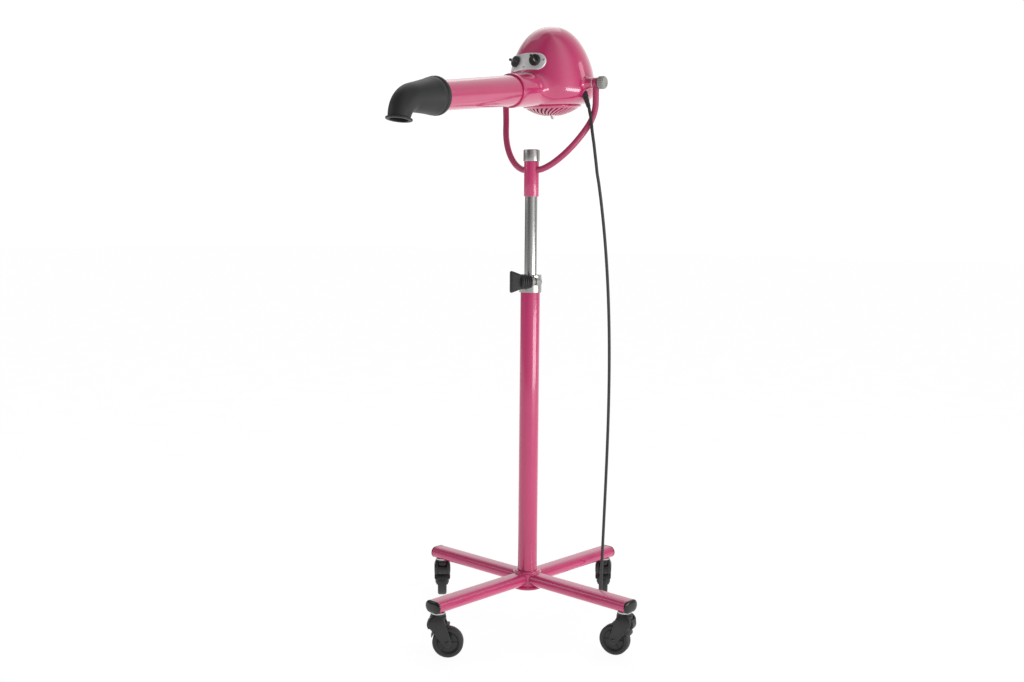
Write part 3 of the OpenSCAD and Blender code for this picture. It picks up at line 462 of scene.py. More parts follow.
# The floor glows almost white, so only a faint shadow shows on it
FLOOR_GLOW, BACKDROP = 0.935, 1.05
floor_paint = finish_of("floor_white", (0.10, 0.10, 0.10), (0.12, 0.12, 0.12), (0.7, 0.8), 40,
                        edge=0.0, specular=0.0)
glow = floor_paint.node_tree.nodes["Principled BSDF"]
glow.inputs["Emission Color"].default_value = (1, 1, 1, 1)
glow.inputs["Emission Strength"].default_value = FLOOR_GLOW
FLOOR, FLOOR_Z = 30000, -0.2
floor = piece("floor", [(sx * FLOOR, sy * FLOOR, FLOOR_Z)
                        for sx, sy in ((-1, -1), (1, -1), (1, 1), (-1, 1))],
              [(0, 1, 2, 3)], floor_paint, "nylon")
del floor["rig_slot"]

EYE_AZIMUTH = math.degrees(math.atan2(EYE[1], EYE[0]))
world = bpy.data.worlds.new("studio")
world.use_nodes = True
SCENE.world = world
sky = world.node_tree
background = sky.nodes["Background"]
place = sky.nodes.new("ShaderNodeTexCoord")
spin = sky.nodes.new("ShaderNodeMapping")
spin.vector_type = "TEXTURE"
spin.inputs["Rotation"].default_value = (0, 0, math.radians(EYE_AZIMUTH))
sky.links.new(place.outputs["Generated"], spin.inputs["Vector"])
round_about = sky.nodes.new("ShaderNodeTexGradient")
round_about.gradient_type = "RADIAL"
sky.links.new(spin.outputs["Vector"], round_about.inputs["Vector"])
tones = sky.nodes.new("ShaderNodeValToRGB")
tones.color_ramp.interpolation = "B_SPLINE"
# Tone of the room at each angle to the right of the camera's side. The camera itself sees
# BACKDROP, so these tones show only in what the paint and the chrome reflect.
ROOM = ((-180, 1.25), (-158, 0.80), (-130, 0.12), (-105, 0.20), (-80, 0.36), (-58, 0.22),
        (-38, 0.08), (-20, 0.26), (0, 0.40), (18, 0.50), (38, 1.05), (54, 1.05), (75, 0.28),
        (95, 0.34), (125, 0.70), (180, 1.25))
while len(tones.color_ramp.elements) > 1:
    tones.color_ramp.elements.remove(tones.color_ramp.elements[-1])
for k, (angle, tone) in enumerate(ROOM):
    at = angle / 360 + 0.5
    stop = tones.color_ramp.elements[0] if k == 0 else tones.color_ramp.elements.new(at)
    stop.position = at
    stop.color = (tone, tone, 0.99 * tone, 1)
sky.links.new(round_about.outputs["Fac"], tones.inputs["Fac"])
ray = sky.nodes.new("ShaderNodeLightPath")
seen = sky.nodes.new("ShaderNodeMix")
seen.data_type = "RGBA"
seen.inputs[7].default_value = (BACKDROP, BACKDROP, BACKDROP, 1)
sky.links.new(ray.outputs["Is Camera Ray"], seen.inputs[0])
sky.links.new(tones.outputs["Color"], seen.inputs[6])
sky.links.new(seen.outputs[2], background.inputs["Color"])
background.inputs["Strength"].default_value = 1.0


def softbox(name, swing, far, height, target, size, watts):
    """A lamp, swing degrees to the right of the camera's side, aimed at a height on the mast."""
    a = EYE_AZIMUTH + swing
    spot = Vector((far * cosd(a), far * sind(a), height))
    lamp = bpy.data.lights.new(name, "AREA")
    lamp.shape = "RECTANGLE"
    lamp.size, lamp.size_y = size
    lamp.energy = watts
    obj = bpy.data.objects.new(name, lamp)
    obj.location = spot
    obj.rotation_euler = (Vector((0, 0, target)) - spot).to_track_quat("-Z", "Y").to_euler()
    SCENE.collection.objects.link(obj)


softbox("key", 60, 2.9, 0.80, 1.35, (2.2, 0.52), 24)
softbox("right", 95, 3.0, 2.4, 1.1, (0.8, 1.2), 5)
softbox("left", -88, 3.0, 2.2, 0.9, (0.8, 1.4), 5)
softbox("top", -158, 1.6, 3.6, 1.0, (2.6, 2.0), 10)
SCENE.view_settings.view_transform = "Standard"


# -------------------- cord

GLAND_TURN, GLAND_LEVEL, GLAND_PITCH, GLAND_YAW, GLAND_L = 82.3, -34, 147, -34, 36
gland_foot = Vector((dome_at(GLAND_LEVEL) * sind(GLAND_TURN),
                     DOME_BACK - dome_at(GLAND_LEVEL) * cosd(GLAND_TURN),
                     DOME_UP + GLAND_LEVEL))
gland_axis = Vector((sind(GLAND_PITCH) * cosd(GLAND_YAW), sind(GLAND_PITCH) * sind(GLAND_YAW),
                     cosd(GLAND_PITCH)))
GLAND = HEAD @ move(*gland_foot) @ turn("Z", GLAND_YAW) @ turn("Y", GLAND_PITCH)
cord_start = HEAD @ (gland_foot + GLAND_L * gland_axis)
# Points of the cord from the gland's end, down beside the yoke to where the long drop starts
LEAD = [(0, 0, 0), (2.2, -1.4, -4), (4.5, -2.8, -12), (7.5, -4.6, -20), (10, -6, -27),
        (14, -9, -42), (17, -11, -59), (20, -11, -77), (22, -9, -94)]
SWAY = [(22, -9, -94), (24, -6, -119), (25, -1, -144), (26, 3, -167), (28, 8, -190),
        (30, 15, -224)]
FLOOR_FOOT, FLOOR_BEND, SPLIT_Z, DROP_END = Vector((95, 232, 0)), 45, 1000, 60
drop_from = cord_start + Vector(SWAY[-1])
drop_h = drop_from.z - DROP_END
split_u = (drop_from.z - SPLIT_Z) / drop_h


def drop_point(u):
    """The long drop, from u = 0 beside the yoke to u = 1 just over the floor."""
    return Vector((hermite(drop_from.x, FLOOR_FOOT.x, 0.05 * drop_h, -0.04 * drop_h, u),
                   hermite(drop_from.y, FLOOR_FOOT.y, 0.2 * drop_h, 0.03 * drop_h, u),
                   drop_from.z - u * drop_h))


COIL_AT, COIL_R, COIL_PITCH, COIL_LOW, COIL_END, COIL_TAIL = \
    Vector((-199, 318, 0)), 52, 8.6, 5.6, 1517, 40
away = COIL_AT - FLOOR_FOOT
run_heading = math.degrees(math.atan2(away.y, away.x) - math.asin(COIL_R / away.length))
coil_start = run_heading - 90
climb_from = coil_start + 720
inner_r = COIL_R - 2 * COIL_PITCH
ROUTE_SWAY = 4


def heading(a):
    return Vector((cosd(a), sind(a), 0))


def coil_radius(a):
    """Two turns inwards, half a turn while the cord climbs, then outwards on top."""
    if a < climb_from:
        return COIL_R - COIL_PITCH * (a - coil_start) / 360
    if a < climb_from + 180:
        return inner_r - 2.5 * sind(a - climb_from)
    return inner_r + COIL_PITCH * (a - climb_from - 180) / 360


def coil_point(a):
    height = COIL_LOW + COIL_PITCH * soft(clamp((a - climb_from) / 180))
    return COIL_AT + coil_radius(a) * heading(a) + Vector((0, 0, height))


def floor_route():
    """From the drop through a quarter bend and along the floor to the coil."""
    far = coil_point(coil_start) - CORD_D * heading(run_heading)
    near = FLOOR_FOOT + FLOOR_BEND * heading(run_heading)
    side = heading(run_heading + 90)
    route = [drop_point(1)]
    for a in range(0, 91, 15):
        route.append(FLOOR_FOOT + Vector((0, 0, CORD_D / 2 + FLOOR_BEND))
                     + FLOOR_BEND * (1 - cosd(a)) * heading(run_heading)
                     - Vector((0, 0, FLOOR_BEND * sind(a))))
    for k in range(1, 15):
        u = k / 14
        route.append(near + u * (far - near - Vector((0, 0, far.z)))
                     + ROUTE_SWAY * (1 - cosd(360 * u)) * side
                     + Vector((0, 0, CORD_D / 2 + (far.z - CORD_D / 2)
                               * soft(max(0, 3 * u - 2)))))
    return route


def coil_route():
    steps = math.ceil((COIL_END - coil_start) / 15)
    last = coil_point(COIL_END)
    return ([coil_point(coil_start) - CORD_D * heading(run_heading)]
            + [coil_point(coil_start + (COIL_END - coil_start) * k / steps)
               for k in range(steps + 1)]
            + [last + COIL_TAIL * k / 3 * heading(COIL_END + 90) for k in (1, 2, 3)])


plug_place = (move(*(coil_point(COIL_END) + COIL_TAIL * heading(COIL_END + 90)))
              @ turn("Z", COIL_END + 90) @ turn("Y", 90))
PLUG_R, GROOVE = 14.1, 1.2
plug = piece("plug_body", *spun(filleted([
    (0, 0, 0), (5.5, 0, 1), (7, 5, 2), (PLUG_R - 2, 14, 3), (PLUG_R, 17, 1), (PLUG_R, 19, 0.6),
    (PLUG_R - GROOVE, 19.6, 0.4), (PLUG_R - GROOVE, 21.4, 0.4), (PLUG_R, 22, 0.6),
    (PLUG_R, 23.5, 0.6), (PLUG_R - GROOVE, 24.1, 0.4), (PLUG_R - GROOVE, 25.9, 0.4),
    (PLUG_R, 26.5, 0.6), (PLUG_R, 30, 1.2), (0, 30, 0)]), 48),
    pvc, "black_plastic", "base", plug_place)
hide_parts("cord_plug")
PIN_R, PIN_HALF_GAP = 2.4, 9.5
pin = spun(filleted([(0, 29, 0), (PIN_R, 29, 0), (PIN_R, 48.4, 0.8), (0, 49, 0)]), 20)
pins = piece("plug_pins", *joined(*[placed(pin, move(0, s * PIN_HALF_GAP, 0)) for s in (-1, 1)]),
             steel, "steel", "base", plug_place)

TIE_TURN, TIE_W, TIE_T, TIE_GRIP = 250, 6, 0.9, 4.4
tie_out = coil_radius(TIE_TURN) + TIE_GRIP
tie_in = coil_radius(TIE_TURN + 720) - TIE_GRIP
tie_low, tie_high = COIL_LOW - TIE_GRIP, COIL_LOW + COIL_PITCH + TIE_GRIP


def tie_outline(grow, radius):
    return filleted([(tie_in - grow, tie_low - grow, radius),
                     (tie_out + grow, tie_low - grow, radius),
                     (tie_out + grow, tie_high + grow, radius),
                     (tie_in - grow, tie_high + grow, radius)], True, 6)


band, hole = tie_outline(TIE_T, 2.5), tie_outline(0, 1.8)
loop = [[Vector((x, y, z)) for x, z, y in
         ((o[0], o[1], -TIE_W / 2), (o[0], o[1], TIE_W / 2), (h[0], h[1], TIE_W / 2),
          (h[0], h[1], -TIE_W / 2))] for o, h in zip(band, hole)]
tie = piece("tie_band", *skin(loop, closed=True), tie_white, "tie_white", "base",
            move(COIL_AT.x, COIL_AT.y, 0) @ turn("Z", TIE_TURN))
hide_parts("cord_tie")


def cord_piece(name, node, route, sides, between, blend=None):
    """A stretch of cord, riding the base, or baked in place and left on no body when blend is
    given.
    """
    path = smooth_path(route, between)
    rows = rings_along(path, lambda i: round_section(CORD_D / 2, sides), (0.6, 0.8, 0.1))
    obj = piece(name, *skin(rows), pvc, "black_plastic")
    if blend:
        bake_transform(obj)
    else:
        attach(obj, "base")
    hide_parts(node)


lead = [cord_start + Vector(q) for q in LEAD]
upper = [cord_start + Vector(q) for q in SWAY] + [drop_point(split_u * k / 5)
                                                  for k in range(1, 6)]
lower = [drop_point(split_u + (1 - split_u) * k / 32) for k in range(33)]
cord_piece("cord_at_head", "cord_lead", lead, 16, 3, ("head", "yoke"))
cord_piece("cord_at_yoke", "cord_upper", upper, 16, 3, ("yoke", "mast"))
cord_piece("cord_down", "cord_lower", lower, 16, 3, ("mast", "base"))
cord_piece("cord_on_floor", "cord_floor", floor_route(), 16, 3)
cord_piece("cord_wound", "cord_coil", coil_route(), 14, 2)

# -------------------- base

HUB_PLATE_R, HUB_WAIST_R, HUB_SHOULDER_R, HUB_STEP_R = 40.5, 35.5, 38, 33
PLATE_DROP, HUB_FLOOR = 4, 6
socket_r = COLUMN_D / 2 + 0.1
hub = piece("hub_shell", *spun(filleted([
    (0, HUB_Z - PLATE_DROP, 0), (HUB_PLATE_R, HUB_Z - PLATE_DROP, 2),
    (HUB_PLATE_R, HUB_Z + 1.5, 2), (HUB_WAIST_R, HUB_Z + 5, 3), (HUB_WAIST_R, HUB_Z + 33, 3),
    (HUB_SHOULDER_R, HUB_Z + 36.5, 1.5), (HUB_STEP_R, HUB_Z + 38, 1),
    (HUB_STEP_R, HUB_Z + HUB_H, 1.6), (socket_r, HUB_Z + HUB_H, 0.5),
    (socket_r, HUB_Z + HUB_FLOOR, 0), (0, HUB_Z + HUB_FLOOR, 0)]), 96),
    paint, "pink_paint", "base")
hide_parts("base_hub")

LEG_ROOT, CAP_LIP, CAP_SKIRT, CAP_PLUG, CAP_BULGE, CAP_EDGE = 30, 0.7, 2.5, 9, 6.2, 0.6
tubes, caps = [], []
for n in range(4):
    line = [(LEG_ROOT + (LEG_REACH - LEG_ROOT) * k / 12, 0, LEG_Z) for k in range(13)]
    tubes.append(placed(skin(rings_along(line, lambda i: stadium(LEG_W, LEG_H), (0, 1, 0))),
                        at_leg(n)))
    rim = stadium(LEG_W + CAP_LIP, LEG_H + CAP_LIP)
    rows = [[Vector((x, t * y, t * z)) for y, z in rim]
            for x, t in ((-CAP_PLUG, 0.9), (-CAP_SKIRT - 0.4, 0.9), (-CAP_SKIRT - 0.4, 0.985),
                         (-CAP_SKIRT, 1), (-1.4, 1), (-CAP_EDGE, 1))]
    for k in range(10):
        a = 9 + 9 * k
        rows.append([Vector((CAP_BULGE * sind(a) - CAP_EDGE, y * cosd(a) ** 0.9,
                             z * cosd(a) ** 0.9))
                     for y, z in rim])
    caps.append(placed(skin(rows), at_leg(n) @ move(LEG_REACH, 0, LEG_Z)))
legs = piece("leg_tubes", *joined(*tubes), paint, "pink_paint", "base")
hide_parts("base_legs")
cap_pieces = piece("leg_end_caps", *joined(*caps), gloss_black, "black_plastic", "base")
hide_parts("leg_caps")

COLUMN_WALL = 2
column = piece("column_tube", *spun(filleted([
    (COLUMN_D / 2, HUB_Z + HUB_FLOOR, 0), (COLUMN_D / 2, COLUMN_TOP, 0.6),
    (COLUMN_D / 2 - COLUMN_WALL, COLUMN_TOP, 0.6),
    (COLUMN_D / 2 - COLUMN_WALL, HUB_Z + HUB_FLOOR, 0)], True), 80, True),
    paint, "pink_paint", "base")
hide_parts("lower_column")

WHEEL_R, WHEEL_HALF, HUB_HALF = 38, 12.2, 12.5
tread = spun(filleted([
    (26, -WHEEL_HALF + 2.5, 0.8), (29, -WHEEL_HALF, 1), (35, -WHEEL_HALF, 2.5),
    (WHEEL_R, -WHEEL_HALF + 4, 3), (WHEEL_R, WHEEL_HALF - 4, 3), (35, WHEEL_HALF, 2.5),
    (29, WHEEL_HALF, 1), (26, WHEEL_HALF - 2.5, 0.8)], True), 80, True)
core = spun(filleted([
    (4.1, -HUB_HALF, 0), (9, -HUB_HALF, 1), (10.5, -WHEEL_HALF + 5, 1.5),
    (24, -WHEEL_HALF + 5, 1.5), (26.5, -WHEEL_HALF + 2, 0.8), (26.5, WHEEL_HALF - 2, 0.8),
    (24, WHEEL_HALF - 5, 1.5), (10.5, WHEEL_HALF - 5, 1.5), (9, HUB_HALF, 1),
    (4.1, HUB_HALF, 0)], True), 64, True)
ribs = [placed(prism(stadium(14, 2.4, 4), -WHEEL_HALF + 3.4, WHEEL_HALF - 3.4),
               turn("Z", 60 * k) @ move(17.5, 0, 0)) for k in range(6)]
for n in range(4):
    axle = at_caster(n) @ move(CASTER_TRAIL, 0, WHEEL_R) @ turn("X", -90)
    rubber = piece(f"tyre_{n + 1}", *tread, tyre, "tyre", f"wheel_{n + 1}", axle)
    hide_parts(f"caster_wheel_{n + 1}")
    piece(f"wheel_core_{n + 1}", *joined(core, *ribs), black_plastic, "black_plastic",
          f"wheel_{n + 1}", axle)

FORK_TOP, FORK_INNER, CHEEK_FOOT, CHEEK_WIDE = 108.4, 12.7, 17, 22.5
FORK_HEAD_R, AXLE_BOSS_R = 20.5, 11
HOOD_FROM, HOOD_TO, HOOD_R, HOOD_UNDER = 84, 158, 43.2, 41.4
PIN_X, PIN_Z, PEDAL_HALF = -11, 82.9, 12.1


def tangent_hull(first, second, steps=14):
    """Outline round two circles (x, y, r), first the one on the right."""
    (x1, y1, r1), (x2, y2, r2) = first, second
    line = math.degrees(math.atan2(y2 - y1, x2 - x1))
    lean_over = math.degrees(math.acos((r1 - r2) / math.hypot(x2 - x1, y2 - y1)))
    points = []
    for (x, y, r), low, high in ((first, line + lean_over, line + 360 - lean_over),
                                 (second, line - lean_over, line + lean_over)):
        angles = [low + (high - low) * k / steps for k in range(steps + 1)]
        points += [(x + r * cosd(a), y + r * sind(a)) for a in angles]
    return points


def cheek(side):
    """One side of a caster's fork, bulging over the stem and narrow at the axle."""
    outline = tangent_hull((CASTER_TRAIL, WHEEL_R, AXLE_BOSS_R),
                           (-2.5, FORK_TOP - FORK_HEAD_R, FORK_HEAD_R))
    middle = Vector((9, 68))
    rows = []
    for t, drop in ((0.04, None), (1, None), (1, 2.6), (0.985, 1.5), (0.955, 0.7), (0.9, 0.2),
                    (0.8, 0), (0.6, 0), (0.35, 0), (0.04, 0)):
        row = []
        for x, z in outline:
            q = middle + t * (Vector((x, z)) - middle)
            y = FORK_INNER
            if drop is not None:
                swell = soft(clamp((q.y - 44) / 36)) - 0.6 * soft(clamp((q.y - 92) / 14))
                y = CHEEK_FOOT + (CHEEK_WIDE - CHEEK_FOOT) * swell - drop
            row.append(Vector((q.x, side * y, q.y)))
        rows.append(row)
    return skin(rows)


def hood():
    """The band over the wheel between the cheeks."""
    rows = []
    for k in range(25):
        a = HOOD_FROM + (HOOD_TO - HOOD_FROM) * k / 24
        end = clamp(min(k, 24 - k) / 1.5)
        spread = soft(clamp((130 - abs(a - 108)) / 90))
        half = CHEEK_FOOT + (CHEEK_WIDE - CHEEK_FOOT - 0.6) * spread
        half -= 2.0 * (1 - end)
        over = [(half * (j / 5 - 1), HOOD_R + 2.6 * (1 - (j / 5 - 1) ** 2) - 1.2 * (1 - end))
                for j in range(11)]
        under = [((half - 1) * (1 - j / 2), HOOD_UNDER) for j in range(5)]
        rows.append([Vector((CASTER_TRAIL + r * cosd(a), y, WHEEL_R + r * sind(a)))
                     for y, r in over + under])
    return skin(rows)


fork_head = spun(filleted([
    (5.3, FORK_TOP, 0.3), (18.6, FORK_TOP, 1.0), (18.6, FORK_TOP - 3.6, 0.6),
    (17.8, FORK_TOP - 3.9, 0.4), (17.8, FORK_TOP - 5.2, 0.4), (19.6, FORK_TOP - 5.6, 0.6),
    (20.2, FORK_TOP - 13, 2), (16, FORK_TOP - 19, 2), (5.3, FORK_TOP - 19, 0.5)], True), 48, True)
DISC_LOW, DISC_TOP, DISC_R, DISC_BORE = FORK_TOP + 0.5, CASTER_H - 0.1, 17.5, 5.1
stem_disc = spun(filleted([(DISC_BORE, DISC_LOW, 0), (DISC_R, DISC_LOW, 0.4),
                           (DISC_R, DISC_TOP, 0.4), (DISC_BORE, DISC_TOP, 0)], True), 48, True)
piece("stem_discs", *joined(*[placed(stem_disc, at_leg(n) @ move(STEM_REACH, 0, 0))
                              for n in range(4)]), chrome, "steel", "base")
pedal_side = smooth_path([(PIN_X + x, PIN_Z + z, 0) for x, z in (
    (2.5, -2.5), (1.5, 3.5), (-4, 9), (-10, 10.5), (-14.5, 7), (-16, 0), (-14.5, -7.5),
    (-11, -11.5), (-7.5, -10), (-4.5, -6), (0, -5.2), (2.5, -2.5))], 3)[:-1]
pedal = prism([(q.x, q.y) for q in pedal_side], -PEDAL_HALF, PEDAL_HALF)
for n in range(4):
    fork = piece(f"fork_shell_{n + 1}", *joined(cheek(1), cheek(-1), hood(), fork_head),
                 black_plastic, "black_plastic", f"caster_{n + 1}", at_caster(n))
    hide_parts(f"caster_fork_{n + 1}")
    brake = softened(piece(f"brake_{n + 1}", *pedal, black_plastic, "black_plastic",
                           f"brake_{n + 1}", at_caster(n) @ turn("X", 90)), 1.6, 3, 50)
    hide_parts(f"brake_pedal_{n + 1}")

# -------------------- mast and yoke

MAST_WALL, CAP_SPIGOT_R, CAP_SPIGOT = 1.5, 15.9, 12
mast = piece("mast_tube_chrome", *spun(filleted([
    (MAST_D / 2, MAST_LOW, 0.5), (MAST_D / 2, MAST_HIGH, 0.5),
    (MAST_D / 2 - MAST_WALL, MAST_HIGH, 0.3), (MAST_D / 2 - MAST_WALL, MAST_LOW, 0.3)],
    True), 80, True), chrome, "chrome", "mast")
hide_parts("mast_tube")

sleeve_top = SLEEVE_Z + SLEEVE_H
sleeve = piece("swivel_sleeve", *spun(filleted([
    (SLEEVE_D / 2, SLEEVE_Z, 1), (SLEEVE_D / 2, sleeve_top, 0.8),
    (MAST_D / 2 + 0.1, sleeve_top, 0.3), (MAST_D / 2 + 0.1, SLEEVE_Z, 0.5)], True),
    80, True), paint, "pink_paint", "yoke")
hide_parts("yoke_sleeve")
crown = piece("crown_cap", *spun(filleted([
    (0, sleeve_top - CAP_SPIGOT, 0), (CAP_SPIGOT_R, sleeve_top - CAP_SPIGOT, 0.5),
    (CAP_SPIGOT_R, sleeve_top + 0.1, 0), (CAP_D / 2, sleeve_top + 0.1, 1.2),
    (CAP_D / 2, sleeve_top + CAP_H, 3), (0, sleeve_top + CAP_H, 0)],
    steps=6), 80), chrome, "chrome", "yoke")
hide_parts("sleeve_cap")

BEND_HALF = 30
bend_r = 2 * BEND_HALF / math.radians(YOKE_LEAN)
bend_start = (YOKE_BACK - bend_r * (1 - cosd(YOKE_LEAN))) / sind(YOKE_LEAN)
bend_end_z = bend_start * cosd(YOKE_LEAN) + bend_r * sind(YOKE_LEAN)
EYE_R, EYE_T, PIVOT_BORE_R, ARM_FOOT, U_HEIGHT, U_POWER = 13, 12, 4.1, 20, 190, 1.6
arm_top = bend_start + 2 * BEND_HALF + YOKE_RISE - bend_end_z - EYE_R + 4


def leaning(t):
    """How far back and up the yoke's U is, t along it: it leans back, then stands upright."""
    if t < bend_start:
        return t * sind(YOKE_LEAN), t * cosd(YOKE_LEAN)
    if t < bend_start + 2 * BEND_HALF:
        a = YOKE_LEAN * (1 - (t - bend_start) / (2 * BEND_HALF))
        return YOKE_BACK - bend_r * (1 - cosd(a)), bend_end_z - bend_r * sind(a)
    return YOKE_BACK, bend_end_z + t - bend_start - 2 * BEND_HALF


arm = [(ARM_FOOT + (YOKE_HALF - ARM_FOOT) * sind(a) ** (2 / U_POWER),
        U_HEIGHT * (1 - cosd(a) ** (2 / U_POWER)))
       for a in [0] + [90 * k / 60 for k in range(4, 61)]]
arm += [(YOKE_HALF, U_HEIGHT + (arm_top - U_HEIGHT) * k / 3) for k in (1, 2, 3)]
side = [Vector((s, leaning(t)[0], CROSS_Z + leaning(t)[1])) for s, t in arm]
bar = [Vector((-p.x, p.y, p.z)) for p in reversed(side)] + side
rod = piece("yoke_bar", *skin(rings_along(bar, lambda i: round_section(ROD_D / 2, 28),
                                          (0, 1, 0), ((0, 0, -1), (0, 0, 1)))),
            rod_paint, "pink_paint", "yoke")
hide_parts("yoke_rod")
eye = spun(filleted([(EYE_R, -EYE_T / 2, 1.5), (EYE_R, EYE_T / 2, 1.5),
                     (PIVOT_BORE_R, EYE_T / 2, 0.4), (PIVOT_BORE_R, -EYE_T / 2, 0.4)],
                    True), 64, True)
eyes = piece("yoke_bar_eyes", *joined(*[
    placed(eye, move(s * YOKE_HALF, YOKE_BACK, PIVOT_Z) @ turn("Y", 90)) for s in (-1, 1)]),
    rod_paint, "pink_paint", "yoke")
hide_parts("yoke_eyes")

# -------------------- head shell

BELOW_WIDEST = 0.3
RIM_Z = -0.92 * DOME_DROP
RIM = DOME @ move(0, 0, RIM_Z)


def dome_wall(inset, rows=56):
    """Profile from the rim to the top; BELOW_WIDEST of its rows lie under the widest line."""
    top, drop = DOME_RISE - inset, DOME_DROP - inset / 2
    radius = DOME_R - inset
    out = []
    for k in range(rows + 1):
        u = k / rows
        h = (RIM_Z * (1 - u / BELOW_WIDEST) if u < BELOW_WIDEST
             else top * sind(90 * (u - BELOW_WIDEST) / (1 - BELOW_WIDEST)))
        out.append((bulge(h, radius, top, drop), h))
    out[-1] = (0, top)
    return out


outer, inner = dome_wall(0), dome_wall(DOME_WALL)
dome = piece("dome_shell", *spun(outer + inner[::-1] + [inner[0]], 128, True), shell,
             "pink_shell", "head", DOME, sharp=60)
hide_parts("casing")
TO_DOME = DOME.inverted()


def last_inside(point_at, low, high, offset=0.0):
    """Where a line of points leaves the dome, raised by offset."""
    for _ in range(40):
        mid = (low + high) / 2
        p = TO_DOME @ point_at(mid)
        inside = p.z < DOME_RISE + offset and math.hypot(p.x, p.y) < dome_at(p.z) + offset
        low, high = (mid, high) if inside else (low, mid)
    return low


SOCKET_R, BLEND_ROWS = SOCKET_D / 2, 16
BLEND_TIGHT, BLEND_SOFT = 8, 22
SPOKES = [360 * j / 96 for j in range(96)]


def socket_z(r, a):
    """Where a line along the barrel, at radius r and angle a, leaves the dome."""
    return last_inside(lambda z: BARREL @ Vector((r * cosd(a), r * sind(a), z)), 20, 260)


def blend_line(a):
    """Points (r, z) from the dome's skin to the socket's side: tight above, soft beside."""
    up = (TO_DOME.to_3x3() @ BARREL.to_3x3() @ Vector((cosd(a), sind(a), 0))).z
    wide = BLEND_TIGHT + BLEND_SOFT * (1 - up * up) ** 1.5
    far = SOCKET_R + wide
    start = Vector((far, socket_z(far, a) - 0.3))
    along = (Vector((far - 2, socket_z(far - 2, a) - 0.3)) - start).normalized()
    finish = Vector((SOCKET_R, socket_z(SOCKET_R, a) + 0.85 * wide))
    reach = 1.15 * (finish - start).length
    return [hermite(start, finish, reach * along, Vector((0, reach)), k / BLEND_ROWS)
            for k in range(BLEND_ROWS + 1)]


def socket_ring(points):
    """A ring round the barrel, from one (r, z) for each spoke."""
    return [Vector((r * cosd(a), r * sind(a), z)) for a, (r, z) in zip(SPOKES, points)]


blends = [blend_line(a) for a in SPOKES]
rows = [socket_ring([line[k] for line in blends]) for k in range(BLEND_ROWS + 1)]
rows += [socket_ring([point] * len(SPOKES)) for point in filleted([
    (SOCKET_R, SOCKET_REACH - 12, 0), (SOCKET_R, SOCKET_REACH, 1.6),
    (BARREL_D / 2 + 0.2, SOCKET_REACH, 0.5), (BARREL_D / 2 + 0.2, SOCKET_REACH - 30, 0)])]
foot = SOCKET_R - 1
rows.append(socket_ring([(foot, socket_z(foot, a) - 1) for a in SPOKES]))
piece("barrel_socket", *skin(rows, closed=True), shell, "pink_shell", "head", BARREL)
boss_reach = YOKE_HALF - EYE_T / 2 - 0.3 - 2
boss = spun(filleted([(24, 100, 0), (24, 104.5, 2), (16, 111, 6), (12.7, boss_reach, 1),
                      (0, boss_reach, 0)], steps=6), 64)
piece("pivot_bosses", *joined(*[placed(boss, turn("Y", s * 90)) for s in (-1, 1)]),
      shell, "pink_shell", "head", HEAD)

BARREL_FROM, barrel_in, tip_in = 108, BARREL_D / 2 - BARREL_WALL, TIP_D / 2 - BARREL_WALL
tip_from, tip_end = BARREL_REACH - 22, BARREL_REACH - 0.4
barrel_tube = piece("barrel_tube", *spun(filleted([
    (barrel_in, BARREL_FROM, 0), (BARREL_D / 2, BARREL_FROM, 0), (BARREL_D / 2, SOCKET_REACH, 3),
    (TIP_D / 2, tip_from, 8), (TIP_D / 2, tip_end, 0.5), (tip_in, tip_end, 0.5),
    (tip_in, tip_from, 0), (barrel_in, SOCKET_REACH, 0)], True), 96, True),
    shell, "pink_shell", "head", BARREL)
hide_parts("barrel")

RING_H, SEAT_R = 4, dome_at(RIM_Z)
LIP_R = bulge(RIM_Z, DOME_R - DOME_WALL, DOME_RISE, DOME_DROP - DOME_WALL / 2) - 0.1
GRILLE_D, GRILLE_DEPTH, GRILLE_T = 146, 24, 3
ring_bore, bowl_seat = GRILLE_D / 2 + 0.2, 1.5 - RING_H
foot_ring = piece("foot_ring", *spun(filleted([
    (LIP_R - 5, bowl_seat, 0.4), (ring_bore, bowl_seat, 0.3), (ring_bore, -RING_H, 0.4),
    (SEAT_R - 0.1, -RING_H, 1.6), (SEAT_R - 0.1, -0.2, 0.5), (LIP_R, -0.2, 0), (LIP_R, 4, 0.5),
    (LIP_R - 3, 4, 0.5), (LIP_R - 3, 0, 0), (LIP_R - 5, 0, 0)], True), 128, True), shell,
    "pink_shell", "head", RIM)
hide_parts("bottom_ring")

bowl_r = ((GRILLE_D / 2) ** 2 + GRILLE_DEPTH ** 2) / (2 * GRILLE_DEPTH)
# A dark lining lies 0.4 mm behind the bowl, under the flat pad: a dark sheet that puts painted
# shade into the grille's slots
PAD_BORE, PAD_STEP_R, PAD_LOW, PAD_TOP = 3.3, 70, 0.7, 5.3
slot_shade_lining = [PAD_BORE + (PAD_STEP_R - PAD_BORE) * k / 16 for k in range(17)]
slot_shade_lining = [(r, bowl_seat + bowl_r - GRILLE_DEPTH
           - math.sqrt((bowl_r - GRILLE_T - 0.4) ** 2 - r * r)) for r in slot_shade_lining]
# The flat foam pad, with the dark lining of painted shade behind the grille's slots
filter_pad_and_shade_lining = piece("filter_pad_and_shade_lining", *spun(slot_shade_lining + [
    (PAD_STEP_R, PAD_LOW), (LIP_R - 3.3, PAD_LOW), (LIP_R - 3.3, PAD_TOP),
    (PAD_BORE, PAD_TOP)], 72, True), foam,
    "filter_foam", "head", RIM)
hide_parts("intake_filter")

# -------------------- elbow

ELBOW_RUN, ELBOW_BEND, ELBOW_TURN, MOUTH_D = 70, 52, 74, 43
ELBOW_R, LIP_T = 43.1, 4.9
elbow_len = ELBOW_RUN + math.radians(ELBOW_TURN) * ELBOW_BEND


